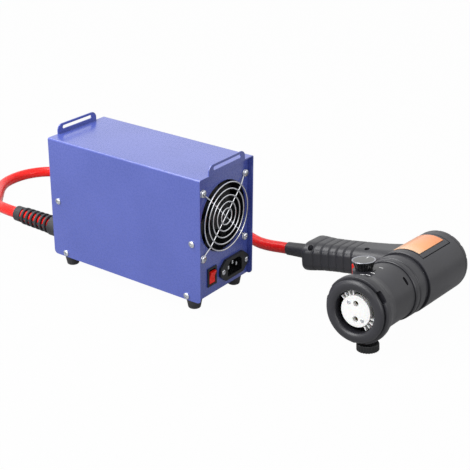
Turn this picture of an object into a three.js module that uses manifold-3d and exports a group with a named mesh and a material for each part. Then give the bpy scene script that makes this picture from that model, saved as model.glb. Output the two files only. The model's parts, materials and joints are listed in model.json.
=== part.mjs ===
import * as THREE from 'three';
import { mergeVertices } from 'three/addons/utils/BufferGeometryUtils.js';
import Module from 'manifold-3d';

// Induction heater: a blue sheet steel power case and a black hand-held induction gun,
// joined by one thick red cable. Millimetres, +Z up. The fan panel of the case faces -Y.
// Everything is drawn with the case's lower front left corner as zero, and the whole
// group is moved at the end, so that its origin is under the middle of case and gun.

const wasm = await Module();
wasm.setup();

// Sheet metal and the fits that many pieces share
const sheet = 1.2;
const gap = 0.3;
const overrun = 2;

// The steel case
const box = {
  width: 90, length: 205, height: 135, bend: 2, cornerRadius: 4.5, setback: 6, flange: 12, skirt: 8.8,
};
const tab = { width: 60, height: 10.5, cornerRadius: 7, slotWidth: 45, slotHeight: 3.8, slotRise: 6 };
const vent = { width: 50, height: 3, pitch: 8, count: 6, rise: 90 };

// Fasteners: shank radius, head radius and head height, and how much narrower a head is on top
const crownShare = 0.72;
const sideScrew = { shank: 1.5, head: 3.5, height: 2.2, length: 2.9, highRise: 64.5, lowRise: 4.5 };
const sideScrewInset = { high: 10.5, low: 17.8 };
const guardScrew = { shank: 2, head: 4, height: 2.4, length: 18 };
const inletScrew = { shank: 1.5, head: 2.9, height: 1.6, length: 10 };
const discScrew = { shank: 1, head: 2, height: 0.8, length: 16 };
const shellScrew = { shank: 1.5, head: 2.7, height: 2.2, length: 12 };

// Rubber feet
const foot = {
  top: 8.5, bottom: 6.6, height: 12, rim: 1.5, recess: 4.2, seat: 6, stem: 2.4, barb: 3.2,
  barbHeight: 3, insetX: 11,
  insetY: 16.5,
};

// Case fan, its wire guard and its place on the panel
const fan = {
  size: 80, depth: 25, wall: 2, screwInset: 4.25, centreX: 46.8, topClear: 14, cornerRadius: 4,
  hub: 16, hubEdge: 1.2, hubFront: 2.2, hubDepth: 18, bladeChord: 20, bladeThick: 1.6, bladeRoot: 12.8,
  tipClear: 1.4, blades: 7,
  baseRadius: 17, baseDepth: 4, strutWidth: 4, shaft: 1.5, pitchAngle: 40,
};
const guard = { wire: 0.8, outer: 36.3, step: 6.9, rings: 5, eyelet: 3.4, spokeLift: 2, ringLift: 1.1 };

// Power switch
const power = {
  centreX: 26.5, centreZ: 20, bezelWidth: 15, bezelHeight: 21, bezelDepth: 1.4, bodyWidth: 13, bodyHeight: 19,
  bodyDepth: 20, wellWidth: 9.6, wellHeight: 16.4, wellDepth: 9.4, tongueWidth: 5, tongueLength: 6,
};
const rocker = { halfHeight: 6.9, proud: 1.2, dish: 1.5, hub: 2.8, pivotDepth: 4.2, tilt: 10 };

// Mains inlet
const inlet = {
  centreX: 63, centreZ: 18.5, screwPitch: 40, earRadius: 4.6, earCorner: 3.7, faceWidth: 30,
  faceHeight: 24, faceDepth: 3,
  bodyWidth: 27, bodyHeight: 20, bodyDepth: 15, wellWidth: 24.4, wellHeight: 16.6, wellChamfer: 4.5,
  backWall: 3, pinWidth: 2.2, pinHeight: 4, pinSpacing: 7, earthRise: 4, pinLow: 0.6, pinInset: 3, pinTail: 7,
};

// Cable gland and ribbed strain relief on the far panel
const gland = {
  centreX: 20, centreZ: 20.5, collarRadius: 12, collarLength: 13, threadRadius: 8, threadLength: 12,
  nutRadius: 11, nutHeight: 5,
};
const relief = {
  length: 70.5, ribs: 6, ribPitch: 7.2, ribWidth: 4.4, ribRadius: 10.9, ribTaper: 0.12, core: 7.6,
  rootRadius: 11.4, rootLength: 14, endRadius: 8.8, endLength: 10,
};

// The cable's own points are a list chosen by hand, further down
const cable = { radius: 6.5, sides: 10, steps: 48 };

// Inside the case
const board = {
  thick: 1.6, rise: 10, leftInset: 12, rightInset: 8, fanClear: 27.8, glandClear: 7, inset: 5,
  pillar: 3, rail: 2,
};
const sink = { base: 5, depth: 26, height: 50, endInset: 10, fins: 7, finThick: 2, offsetX: 6 };
const core = { width: 30, length: 40, height: 36, limb: 8, offsetX: 38, cleat: 2 };

// The gun lies on its side: where its ceramic face is, and how it is turned, in degrees
const gunPlace = { x: 30.3, y: -162.7, pitch: 3.4, roll: 8, yaw: -0.9 };

// Gun barrel, from the ceramic face backwards; u is along the barrel
const barrel = {
  frontRadius: 29.9, frontBore: 27.5, frontStart: 6.3, frontEnd: 62, shellStart: 88.5, shellRadius: 32.7,
  shellBore: 30.2, shellEnd: 165, sides: 36,
};
// Outlines of the turned pieces: places along the barrel, then radii
const noseSize = {
  boreStart: 1, lipStart: -2.4, roundStart: -3.8, tip: -4.1, roundEnd: -3.6, lipEnd: -1.8, neckStart: 0.2,
  neckEnd: 1.8, flangeStart: 3.4, flangeEnd: 8, taperEnd: 11.5, waistStart: 16, tail: 23, boreEnd: 6,
  bore: 21.5, boreLip: 21.9, innerRound: 23.6, crown: 26.5, outerRound: 29.6, rim: 31.6, neck: 30.2,
  flangeEdge: 33.4, flange: 34.5, taper: 33.6, waist: 31.8, tailRadius: 30.9,
};
const noseOutline = [
  [noseSize.boreStart, noseSize.bore], [noseSize.lipStart, noseSize.boreLip],
  [noseSize.roundStart, noseSize.innerRound], [noseSize.tip, noseSize.crown],
  [noseSize.roundEnd, noseSize.outerRound], [noseSize.lipEnd, noseSize.rim],
  [noseSize.neckStart, noseSize.rim], [noseSize.neckStart, noseSize.neck],
  [noseSize.neckEnd, noseSize.neck], [noseSize.neckEnd, noseSize.flangeEdge],
  [noseSize.flangeStart, noseSize.flange], [noseSize.flangeEnd, noseSize.flange],
  [noseSize.taperEnd, noseSize.taper], [noseSize.waistStart, noseSize.waist],
  [noseSize.tail, noseSize.tailRadius], [noseSize.tail, noseSize.neck],
  [noseSize.boreEnd, noseSize.neck], [noseSize.boreEnd, noseSize.bore],
];
const collarSize = {
  start: 62.3, bevelEnd: 64, ridgeEnd: 68.5, grooveStart: 69.3, grooveEnd: 70.5, bandStart: 71.3,
  bandEnd: 80.4, neckStart: 81.2, end: 88.2,
  startRadius: 30.6, ridge: 31.6, groove: 30.9, band: 31.8, neck: 30.2, bore: 25,
};
const collarOutline = [
  [collarSize.start, collarSize.startRadius], [collarSize.bevelEnd, collarSize.ridge],
  [collarSize.ridgeEnd, collarSize.ridge],
  [collarSize.grooveStart, collarSize.groove], [collarSize.grooveEnd, collarSize.groove],
  [collarSize.bandStart, collarSize.band],
  [collarSize.bandEnd, collarSize.band], [collarSize.neckStart, collarSize.neck],
  [collarSize.end, collarSize.neck],
  [collarSize.end, collarSize.bore], [collarSize.start, collarSize.bore],
];
const capSize = {
  start: 165.3, roundStart: 168, roundMiddle: 170.6, roundEnd: 172.8, back: 174, inside: 171.6,
  insideBevel: 168.4, spigotStart: 160,
  radius: 32.7, middleRadius: 31.8, endRadius: 30, backRadius: 27.5, insideRadius: 26.4, bore: 27.4,
  spigot: 29.9,
};
const capOutline = [
  [capSize.start, capSize.radius], [capSize.roundStart, capSize.radius],
  [capSize.roundMiddle, capSize.middleRadius], [capSize.roundEnd, capSize.endRadius],
  [capSize.back, capSize.backRadius], [capSize.back, 0], [capSize.inside, 0],
  [capSize.inside, capSize.insideRadius], [capSize.insideBevel, capSize.bore],
  [capSize.spigotStart, capSize.bore], [capSize.spigotStart, capSize.spigot],
  [capSize.start, capSize.spigot],
];
const noseSlots = { count: 3, turn: 27, halfTurn: 11, start: -1, end: 4.6, floor: 29 };
const barrelVent = { length: 9, width: 3.6, at: 54, turn: 145, count: 4 };
const disc = {
  radius: 16.2, thick: 5, hole: 3, holeOffset: 8, turn: 94.7, screwOffset: 10.9, screwTurn: 49.7, edge: 0.6,
};
const finned = { hub: 14.6, thick: 5.2, front: 1.4, reach: 20.6, finWidth: 1.3, turnStep: 14 };
const finGroups = [{ middleTurn: 61, fins: 4 }, { middleTurn: 220, fins: 4 }];
const socket = { radius: 4, bore: 2.9, boreDepth: 30, end: 62 };
const holder = { start: 20, thick: 4, boss: 14, windows: 4, windowRadius: 4.2, windowOffset: 19.8 };
const spigot = { front: 27.2, frontStart: 54, bore: 25, rear: 29.9, rearEnd: 100 };
const ringCore = { start: 66, length: 24, radius: 24.6, bore: 14 };
const winding = { start: 61, radius: 13.6, bore: 6 };

// Dial on the barrel and the clamping thumb screw under the nose
const dial = {
  u: 34.4, v: 9.9, bossRadius: 11.4, bossTop: 30.4, bossRoot: 14, radius: 11.7, height: 8.6, flutes: 16,
  dip: 0.8,
  footShare: 0.72, shaft: 3, bushing: 3.4, bushingRise: 1.4, shaftReach: 7, potRadius: 8, potHeight: 9,
  potTop: 24.2, capRise: 0.8, capRadius: 9.9,
};
const clamp = {
  u: 12.5, turn: -88, start: 35.2, offset: -5.9, radius: 11.2, height: 7.5, edge: 1.2, flutes: 20,
  dip: 0.5, stem: 3,
};

// Handle, as stations along its own line: share of its length from the barrel axis, half widths
const handle = { rootU: 147.1, rakeTurn: 5.7, length: 135.6, wall: 2.5, sides: 24, squareShare: 2.6 };
const handleStations = [
  { reachShare: 0, wide: 30, thick: 19 }, { reachShare: 0.177, wide: 28, thick: 17.5 },
  { reachShare: 0.28, wide: 25, thick: 16.5 }, { reachShare: 0.3835, wide: 23, thick: 15.8 },
  { reachShare: 0.531, wide: 22, thick: 15.4 }, { reachShare: 0.7375, wide: 21.5, thick: 15.2 },
  { reachShare: 0.8555, wide: 22, thick: 15.5 }, { reachShare: 0.929, wide: 24, thick: 16.2 },
  { reachShare: 0.981, wide: 25, thick: 16.5 }, { reachShare: 1, wide: 23.6, thick: 15.4 },
];
const grooves = { endInset: 12.6, pitch: 9, count: 6, depth: 0.8, width: 2.6 };
const boot = { root: 8.6, tip: 7.3, length: 34.2, neck: 7.6, flange: 10.5, flangeThick: 2 };

// Trigger and its switch
const trigger = {
  tip: 100, back: 113, low: 45.6, high: 66.5, rootHigh: 58, rootEnd: 129, lipStart: 124.6, lipWidth: 16.6,
  width: 13.4, dish: 4, bow: 1.6,
};
const triggerSwitch = { start: 134.5, length: 15, low: 46, high: 68, width: 23.6 };

// Label, the groove round it, the screws that hold the halves, and the slots in the rear cap
const label = { start: 99.8, end: 150.4, halfTurn: 26.6, spareTurn: 0.5, thick: 0.5 };
const groove = { start: 97.3, end: 155.5, halfTurn: 38, width: 1, depth: 0.5 };
const screwPost = { radius: 4.6, seat: 8, nearReach: 64.2, nearOffset: 11.2, endInset: 9.1, endOffset: 20 };
const capSlots = { count: 14, width: 3, start: 169, low: 22, high: 36 };

// Colours of the finishes
const finishes = {
  blue: [0x4a57b8, 0.42, 0.15], zinc: [0xc9ccd2, 0.3, 1], black: [0x2b2c30, 0.55, 0],
  shell: [0x3b3b40, 0.6, 0],
  rubber: [0x1c1c1d, 0.85, 0], red: [0xe02a22, 0.4, 0], chrome: [0xd8dadd, 0.12, 1],
  ceramic: [0xf6f5f2, 0.35, 0],
  brass: [0xc8a24a, 0.32, 1], darkSteel: [0x202023, 0.45, 0.8], green: [0x1f5d3a, 0.5, 0],
  alloy: [0xb6bac0, 0.4, 1],
  ferrite: [0x33302f, 0.7, 0],
  copper: [0xb8693a, 0.35, 1], orange: [0xf59a4d, 0.4, 0],
};

// Geometry helpers

const X = new THREE.Vector3(1, 0, 0);
const Y = new THREE.Vector3(0, 1, 0);
const Z = new THREE.Vector3(0, 0, 1);
const deg = THREE.MathUtils.degToRad;
const fullTurn = 360;

// Strips a geometry to welded points, drops empty triangles and turns its faces outward
function welded(geometry) {
  const bare = geometry.clone();
  for (const name of Object.keys(bare.attributes)) {
    if (name !== 'position') bare.deleteAttribute(name);
  }
  bare.clearGroups();
  const merged = mergeVertices(bare, 1e-4);
  const index = merged.index.array;
  const at = merged.attributes.position;
  const kept = [];
  const a = new THREE.Vector3();
  const b = new THREE.Vector3();
  const c = new THREE.Vector3();
  let volume = 0;
  for (let i = 0; i < index.length; i += 3) {
    const [p, q, r] = [index[i], index[i + 1], index[i + 2]];
    if (p === q || q === r || r === p) continue;
    kept.push(p, q, r);
    a.fromBufferAttribute(at, p);
    b.fromBufferAttribute(at, q);
    c.fromBufferAttribute(at, r);
    volume += a.dot(b.cross(c));
  }
  if (volume < 0) {
    for (let i = 0; i < kept.length; i += 3) [kept[i + 1], kept[i + 2]] = [kept[i + 2], kept[i + 1]];
  }
  merged.setIndex(kept);
  return merged;
}

function solid(geometry) {
  const g = welded(geometry);
  const mesh = new wasm.Mesh({
    numProp: 3,
    vertProperties: new Float32Array(g.attributes.position.array),
    triVerts: new Uint32Array(g.index.array),
  });
  mesh.merge();
  return new wasm.Manifold(mesh);
}

function geometryOf(manifold) {
  const mesh = manifold.getMesh();
  const g = new THREE.BufferGeometry();
  g.setAttribute('position', new THREE.BufferAttribute(new Float32Array(mesh.vertProperties), 3));
  g.setIndex(Array.from(mesh.triVerts));
  return g;
}

const join = (pieces) => geometryOf(pieces.map(solid).reduce((a, b) => a.add(b)));
const cut = (base, tools) => geometryOf(tools.map(solid).reduce((a, b) => a.subtract(b), solid(base)));
const common = (a, b) => geometryOf(solid(a).intersect(solid(b)));

function block(x0, x1, y0, y1, z0, z1) {
  const g = new THREE.BoxGeometry(x1 - x0, y1 - y0, z1 - z0);
  return g.translate((x0 + x1) / 2, (y0 + y1) / 2, (z0 + z1) / 2);
}

// A shape drawn in X and Z, pulled from y0 to y1
function alongY(shape, y0, y1, curveSegments = 8) {
  const g = new THREE.ExtrudeGeometry(shape, { depth: y1 - y0, bevelEnabled: false, curveSegments });
  g.applyMatrix4(new THREE.Matrix4().makeBasis(X, Z, Y.clone().negate()));
  return g.translate(0, y1, 0);
}

// A shape drawn in Y and Z, pulled from x0 to x1
function alongX(shape, x0, x1, curveSegments = 8) {
  const g = new THREE.ExtrudeGeometry(shape, { depth: x1 - x0, bevelEnabled: false, curveSegments });
  g.applyMatrix4(new THREE.Matrix4().makeBasis(Y, Z, X));
  return g.translate(x0, 0, 0);
}

// A shape drawn in X and Y, pulled from z0 to z1
function alongZ(shape, z0, z1, curveSegments = 8) {
  const g = new THREE.ExtrudeGeometry(shape, { depth: z1 - z0, bevelEnabled: false, curveSegments });
  return g.translate(0, 0, z0);
}

// A closed profile of [distance along the axis, radius], turned about the named axis
function turned(profile, sides, axis) {
  const points = profile.map(([along, radius]) => new THREE.Vector2(radius, along));
  const first = profile[0];
  const last = profile[profile.length - 1];
  if (first[1] > 0 || last[1] > 0) points.push(points[0].clone());
  const g = new THREE.LatheGeometry(points, sides);
  const basis = new THREE.Matrix4();
  if (axis === 'x') basis.makeBasis(Y, X, Z.clone().negate());
  if (axis === 'z') basis.makeBasis(X, Z, Y.clone().negate());
  return g.applyMatrix4(basis);
}

const rod = (start, end, radius, sides, axis) =>
  turned([[start, 0], [start, radius], [end, radius], [end, 0]], sides, axis);
const pipe = (start, end, radius, bore, sides, axis) =>
  turned([[start, bore], [start, radius], [end, radius], [end, bore]], sides, axis);

function roundedRect(shape, x0, x1, y0, y1, r) {
  shape.moveTo(x0 + r, y0);
  shape.lineTo(x1 - r, y0);
  shape.absarc(x1 - r, y0 + r, r, -Math.PI / 2, 0, false);
  shape.lineTo(x1, y1 - r);
  shape.absarc(x1 - r, y1 - r, r, 0, Math.PI / 2, false);
  shape.lineTo(x0 + r, y1);
  shape.absarc(x0 + r, y1 - r, r, Math.PI / 2, Math.PI, false);
  shape.lineTo(x0, y0 + r);
  shape.absarc(x0 + r, y0 + r, r, Math.PI, (3 * Math.PI) / 2, false);
  return shape;
}

function polygon(points) {
  return new THREE.Shape(points.map(([x, y]) => new THREE.Vector2(x, y)));
}

// A fluted round outline, for knobs
function flutedOutline(radius, depth, flutes) {
  const steps = flutes * 4;
  const points = [];
  for (let i = 0; i < steps; i += 1) {
    const angle = (i / steps) * 2 * Math.PI;
    const inset = i % 4 === 0 ? depth : 0;
    points.push([(radius - inset) * Math.cos(angle), (radius - inset) * Math.sin(angle)]);
  }
  return polygon(points);
}

const model = new THREE.Group();
const gun = new THREE.Group();

function add(parent, name, geometry, finish) {
  const [color, roughness, metalness] = finishes[finish];
  const material = new THREE.MeshStandardMaterial({ color, roughness, metalness });
  const mesh = new THREE.Mesh(geometry, material);
  mesh.name = name;
  parent.add(mesh);
  return mesh;
}

// Places that several pieces share

const frontFace = box.setback;
const frontBack = frontFace + sheet;
const rearFace = box.length - box.setback;
const rearBack = rearFace - sheet;
const innerLeft = sheet + gap;
const innerRight = box.width - innerLeft;
const chassisTop = box.height - sheet - gap;
const sidePlaces = [
  { y: sideScrewInset.high, z: sideScrew.highRise },
  { y: sideScrewInset.low, z: sideScrew.lowRise },
  { y: box.length - sideScrewInset.high, z: sideScrew.highRise },
  { y: box.length - sideScrewInset.low, z: sideScrew.lowRise },
];
const footPlaces = [];
for (const [side, x] of [['left', foot.insetX], ['right', box.width - foot.insetX]]) {
  for (const [end, y] of [['front', foot.insetY], ['back', box.length - foot.insetY]]) {
    footPlaces.push({ name: `foot_${end}_${side}`, x, y });
  }
}
const fanBore = fan.size / 2 - fan.wall;
const fanPitch = fan.size - fan.screwInset * 2;
const bladeTip = fanBore - fan.tipClear;
const fanCentreZ = box.height - fan.topClear - fan.size / 2;
const fanCorners = [];
for (const i of [-1, 1]) {
  for (const j of [-1, 1]) {
    const turn = Math.atan2(-j, i);
    fanCorners.push({ x: fan.centreX + (i * fanPitch) / 2, z: fanCentreZ + (j * fanPitch) / 2, turn });
  }
}
// The board lies between the fan and the end of the cable gland
const boardTop = board.rise + board.thick;
const boardX = [board.leftInset, box.width - board.rightInset];
const boardY = [frontBack + fan.depth + board.fanClear, rearFace - gland.threadLength - board.glandClear];
const boardLength = boardY[1] - boardY[0];
const pillarPlaces = [];
for (const x of [boardX[0] + board.inset, boardX[1] - board.inset]) {
  for (const y of [boardY[0] + board.inset, boardY[1] - board.inset]) {
    pillarPlaces.push({ x, y });
  }
}

// Cover: an inverted U of sheet steel with a slotted tab bent up at each end

function coverGeometry() {
  const outline = new THREE.Shape();
  const r = box.bend;
  const inner = Math.max(r - sheet, gap);
  outline.moveTo(0, 0);
  outline.lineTo(sheet, 0);
  outline.lineTo(sheet, box.height - sheet - inner);
  outline.absarc(sheet + inner, box.height - sheet - inner, inner, Math.PI, Math.PI / 2, true);
  outline.lineTo(box.width - sheet - inner, box.height - sheet);
  outline.absarc(box.width - sheet - inner, box.height - sheet - inner, inner, Math.PI / 2, 0, true);
  outline.lineTo(box.width - sheet, 0);
  outline.lineTo(box.width, 0);
  outline.lineTo(box.width, box.height - r);
  outline.absarc(box.width - r, box.height - r, r, 0, Math.PI / 2, false);
  outline.lineTo(r, box.height);
  outline.absarc(r, box.height - r, r, Math.PI / 2, Math.PI, false);
  const shell = alongY(outline, 0, box.length, 4);

  const side = new THREE.Shape();
  const c = box.cornerRadius;
  side.moveTo(c, 0);
  side.lineTo(box.length - c, 0);
  side.absarc(box.length - c, c, c, -Math.PI / 2, 0, false);
  side.lineTo(box.length, box.height + overrun);
  side.lineTo(0, box.height + overrun);
  side.lineTo(0, c);
  side.absarc(c, c, c, Math.PI, (3 * Math.PI) / 2, false);
  const trimmed = common(shell, alongX(side, -overrun, box.width + overrun, 5));

  const tabs = [];
  for (const y of [0, box.length - sheet]) {
    const ear = new THREE.Shape();
    const x0 = (box.width - tab.width) / 2;
    const x1 = x0 + tab.width;
    const top = box.height + tab.height;
    const t = tab.cornerRadius;
    ear.moveTo(x0, box.height - sheet);
    ear.lineTo(x1, box.height - sheet);
    ear.lineTo(x1, top - t);
    ear.absarc(x1 - t, top - t, t, 0, Math.PI / 2, false);
    ear.lineTo(x0 + t, top);
    ear.absarc(x0 + t, top - t, t, Math.PI / 2, Math.PI, false);
    const slot = new THREE.Path();
    const s0 = (box.width - tab.slotWidth) / 2;
    const low = box.height + tab.slotRise - tab.slotHeight / 2;
    roundedRect(slot, s0, s0 + tab.slotWidth, low, low + tab.slotHeight, (tab.slotHeight - gap) / 2);
    ear.holes.push(slot);
    tabs.push(alongY(ear, y, y + sheet, 5));
  }
  const holes = [];
  for (const { y, z } of sidePlaces) {
    const hole = rod(-overrun, box.width + overrun, sideScrew.shank + gap, 8, 'x');
    holes.push(hole.translate(0, y, z));
  }
  return cut(join([trimmed, ...tabs]), holes);
}

// Chassis: base, fan panel and far panel bent from one sheet, with side flanges

function chassisGeometry() {
  const plates = [
    block(innerLeft, innerRight, frontFace, rearFace, 0, sheet),
    block(innerLeft, innerRight, frontFace, frontBack, 0, chassisTop),
    block(innerLeft, innerRight, rearBack, rearFace, 0, chassisTop),
  ];
  for (const [x0, x1] of [[innerLeft, innerLeft + sheet], [innerRight - sheet, innerRight]]) {
    plates.push(block(x0, x1, frontFace, rearFace, 0, box.skirt + sheet));
    plates.push(block(x0, x1, frontFace, frontBack + box.flange, box.skirt + sheet, chassisTop));
    plates.push(block(x0, x1, rearBack - box.flange, rearFace, box.skirt + sheet, chassisTop));
  }
  const tools = [];
  for (const { y, z } of sidePlaces) {
    tools.push(rod(-overrun, box.width + overrun, sideScrew.shank + gap, 8, 'x').translate(0, y, z));
  }
  for (const { x, y } of footPlaces) {
    tools.push(rod(-overrun, sheet + overrun, foot.stem + gap, 12, 'z').translate(x, y, 0));
  }
  const front = [frontFace - overrun, frontBack + overrun];
  tools.push(rod(...front, fanBore, 36, 'y').translate(fan.centreX, 0, fanCentreZ));
  for (const { x, z } of fanCorners) {
    tools.push(rod(...front, guardScrew.shank + gap, 8, 'y').translate(x, 0, z));
  }
  tools.push(block(
    power.centreX - power.bodyWidth / 2 - gap, power.centreX + power.bodyWidth / 2 + gap, ...front,
    power.centreZ - power.bodyHeight / 2 - gap, power.centreZ + power.bodyHeight / 2 + gap,
  ));
  tools.push(block(
    inlet.centreX - inlet.bodyWidth / 2 - gap, inlet.centreX + inlet.bodyWidth / 2 + gap, ...front,
    inlet.centreZ - inlet.bodyHeight / 2 - gap, inlet.centreZ + inlet.bodyHeight / 2 + gap,
  ));
  for (const i of [-1, 1]) {
    const hole = rod(...front, inletScrew.shank + gap, 12, 'y');
    tools.push(hole.translate(inlet.centreX + (i * inlet.screwPitch) / 2, 0, inlet.centreZ));
  }
  const rear = [rearBack - overrun, rearFace + overrun];
  tools.push(rod(...rear, gland.threadRadius + gap, 20, 'y').translate(gland.centreX, 0, gland.centreZ));
  for (let i = 0; i < vent.count; i += 1) {
    const z = vent.rise + (i - (vent.count - 1) / 2) * vent.pitch;
    const x0 = (box.width - vent.width) / 2;
    tools.push(block(x0, x0 + vent.width, ...rear, z - vent.height / 2, z + vent.height / 2));
  }
  return cut(join(plates), tools);
}

// A pan head screw whose head sits at zero and whose shank runs along +axis
function screw({ shank, head, height, length }, axis, sides = 9) {
  const crown = head * crownShare;
  const outline = [[-height, 0], [-height, crown], [0, head], [0, shank], [length, shank], [length, 0]];
  return turned(outline, sides, axis);
}

function footGeometry() {
  return turned([
    [-foot.seat, 0], [-foot.seat, foot.recess], [-foot.height, foot.recess], [-foot.height, foot.bottom],
    [-foot.rim, foot.top], [0, foot.top], [0, foot.stem], [sheet + gap, foot.stem], [sheet + gap, foot.barb],
    [foot.barbHeight, foot.stem], [foot.barbHeight, 0],
  ], 16, 'z');
}

add(model, 'cover', coverGeometry(), 'blue');
add(model, 'chassis', chassisGeometry(), 'blue');
for (const [i, { y, z }] of sidePlaces.entries()) {
  add(model, `cover_screw_left_${i + 1}`, screw(sideScrew, 'x'), 'zinc').position.set(0, y, z);
  const right = add(model, `cover_screw_right_${i + 1}`, screw(sideScrew, 'x'), 'zinc');
  right.position.set(box.width, y, z);
  right.rotation.z = Math.PI;
}
for (const { name, x, y } of footPlaces) {
  add(model, name, footGeometry(), 'rubber').position.set(x, y, 0);
}

// Case fan

function fanFrame() {
  const half = fan.size / 2;
  const outline = roundedRect(new THREE.Shape(), -half, half, -half, half, fan.cornerRadius);
  const bore = new THREE.Path();
  bore.absarc(0, 0, fanBore, 0, 2 * Math.PI, true);
  outline.holes.push(bore);
  const body = alongY(outline, 0, fan.depth, 9);
  const pieces = [body, rod(fan.depth - fan.baseDepth, fan.depth, fan.baseRadius, 24, 'y')];
  for (let i = 0; i < 4; i += 1) {
    const side = fan.strutWidth / 2;
    const strut = block(0, fanBore + gap, fan.depth - fan.baseDepth, fan.depth, -side, side);
    pieces.push(strut.rotateY(deg(45) + (i * Math.PI) / 2));
  }
  const holes = [rod(0, fan.depth - fan.baseDepth / 4, fan.shaft + gap, 12, 'y')];
  for (const i of [-1, 1]) {
    for (const j of [-1, 1]) {
      const hole = rod(-overrun, fan.depth + overrun, guardScrew.shank + gap, 8, 'y');
      holes.push(hole.translate((i * fanPitch) / 2, 0, (j * fanPitch) / 2));
    }
  }
  return cut(join(pieces), holes);
}

function fanRotor() {
  const rear = fan.hubFront + fan.hubDepth;
  const shaftEnd = fan.depth - fan.baseDepth / 2;
  const pieces = [
    turned([
      [fan.hubFront, 0], [fan.hubFront, fan.hub - fan.hubEdge], [fan.hubFront + fan.hubEdge, fan.hub],
      [rear, fan.hub], [rear, fan.shaft], [shaftEnd, fan.shaft], [shaftEnd, 0],
    ], 28, 'y'),
  ];
  for (let i = 0; i < fan.blades; i += 1) {
    const half = fan.bladeThick / 2;
    const blade = block(fan.bladeRoot, bladeTip, -fan.bladeChord / 2, fan.bladeChord / 2, -half, half);
    blade.rotateX(deg(fan.pitchAngle)).translate(0, fan.hubFront + fan.hubDepth / 2, 0);
    pieces.push(blade.rotateY((i / fan.blades) * 2 * Math.PI));
  }
  const drum = rod(fan.hubFront, shaftEnd + overrun, bladeTip, 40, 'y');
  return common(join(pieces), drum);
}

function guardGeometry() {
  const wireY = frontFace - guard.wire;
  const spokeY = wireY - guard.spokeLift;
  const ringY = spokeY - guard.ringLift;
  const pieces = [];
  for (let i = 0; i < guard.rings; i += 1) {
    const ring = new THREE.TorusGeometry(guard.outer - i * guard.step, guard.wire, 4, 26);
    pieces.push(ring.rotateX(Math.PI / 2).translate(fan.centreX, ringY, fanCentreZ));
  }
  // Each spoke runs level behind the rings and slants back to an eyelet under a screw
  const bend = guard.outer + guard.wire;
  const reach = (fanPitch / 2) * Math.SQRT2 - guard.eyelet;
  const slant = Math.hypot(reach - bend, guard.spokeLift);
  const slantTurn = Math.atan2(guard.spokeLift, reach - bend);
  for (const { turn } of fanCorners) {
    const level = rod(-guard.wire, bend + guard.wire / 2, guard.wire, 6, 'x').translate(0, spokeY, 0);
    const end = rod(-guard.wire / 2, slant, guard.wire, 6, 'x').rotateZ(slantTurn).translate(bend, spokeY, 0);
    for (const wire of [level, end]) pieces.push(wire.rotateY(turn).translate(fan.centreX, 0, fanCentreZ));
  }
  for (const { x, z } of fanCorners) {
    const loop = new THREE.TorusGeometry(guard.eyelet, guard.wire, 4, 12);
    pieces.push(loop.rotateX(Math.PI / 2).translate(x, wireY, z));
  }
  return join(pieces);
}

const guardHead = frontFace - guard.wire * 2;
const fanPlace = [fan.centreX, frontBack, fanCentreZ];
add(model, 'fan_frame', fanFrame(), 'black').position.set(...fanPlace);
add(model, 'fan_rotor', fanRotor(), 'black').position.set(...fanPlace);
add(model, 'fan_guard', guardGeometry(), 'chrome');
for (const [i, { x, z }] of fanCorners.entries()) {
  add(model, `guard_screw_${i + 1}`, screw(guardScrew, 'y'), 'zinc').position.set(x, guardHead, z);
}

// Power switch: a black body with a well, and a red rocker that tips on a level pin

function switchBody() {
  const half = (value) => value / 2;
  const face = frontFace - power.bezelDepth;
  const back = frontFace + power.bodyDepth;
  const pieces = [
    block(-half(power.bezelWidth), half(power.bezelWidth), face, frontFace,
      -half(power.bezelHeight), half(power.bezelHeight)),
    block(-half(power.bodyWidth), half(power.bodyWidth), frontFace, back,
      -half(power.bodyHeight), half(power.bodyHeight)),
  ];
  for (const i of [-1, 1]) {
    const z = (i * power.bodyHeight) / 4;
    const tongue = half(power.tongueWidth);
    const end = back + power.tongueLength;
    pieces.push(block(-tongue, tongue, back - gap, end, z - sheet / 2, z + sheet / 2));
  }
  const well = block(-half(power.wellWidth), half(power.wellWidth), face - overrun, face + power.wellDepth,
    -half(power.wellHeight), half(power.wellHeight));
  return cut(join(pieces), [well]);
}

const pivotY = frontFace - power.bezelDepth + rocker.pivotDepth;

function rockerGeometry() {
  const h = rocker.halfHeight;
  const front = rocker.pivotDepth + rocker.proud;
  const outline = new THREE.Shape();
  outline.moveTo(-front, -h);
  outline.lineTo(-front + rocker.dish, 0);
  outline.lineTo(-front, h);
  outline.lineTo(-rocker.pivotDepth / 2, h);
  outline.lineTo(0, rocker.hub);
  outline.absarc(0, 0, rocker.hub, Math.PI / 2, -Math.PI / 2, true);
  outline.lineTo(-rocker.pivotDepth / 2, -h);
  const half = power.wellWidth / 2 - gap;
  return alongX(outline, -half, half, 8).rotateX(deg(rocker.tilt));
}

add(model, 'switch_body', switchBody(), 'black').position.set(power.centreX, 0, power.centreZ);
add(model, 'rocker', rockerGeometry(), 'red').position.set(power.centreX, pivotY, power.centreZ);

// Mains inlet with three blades

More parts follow.
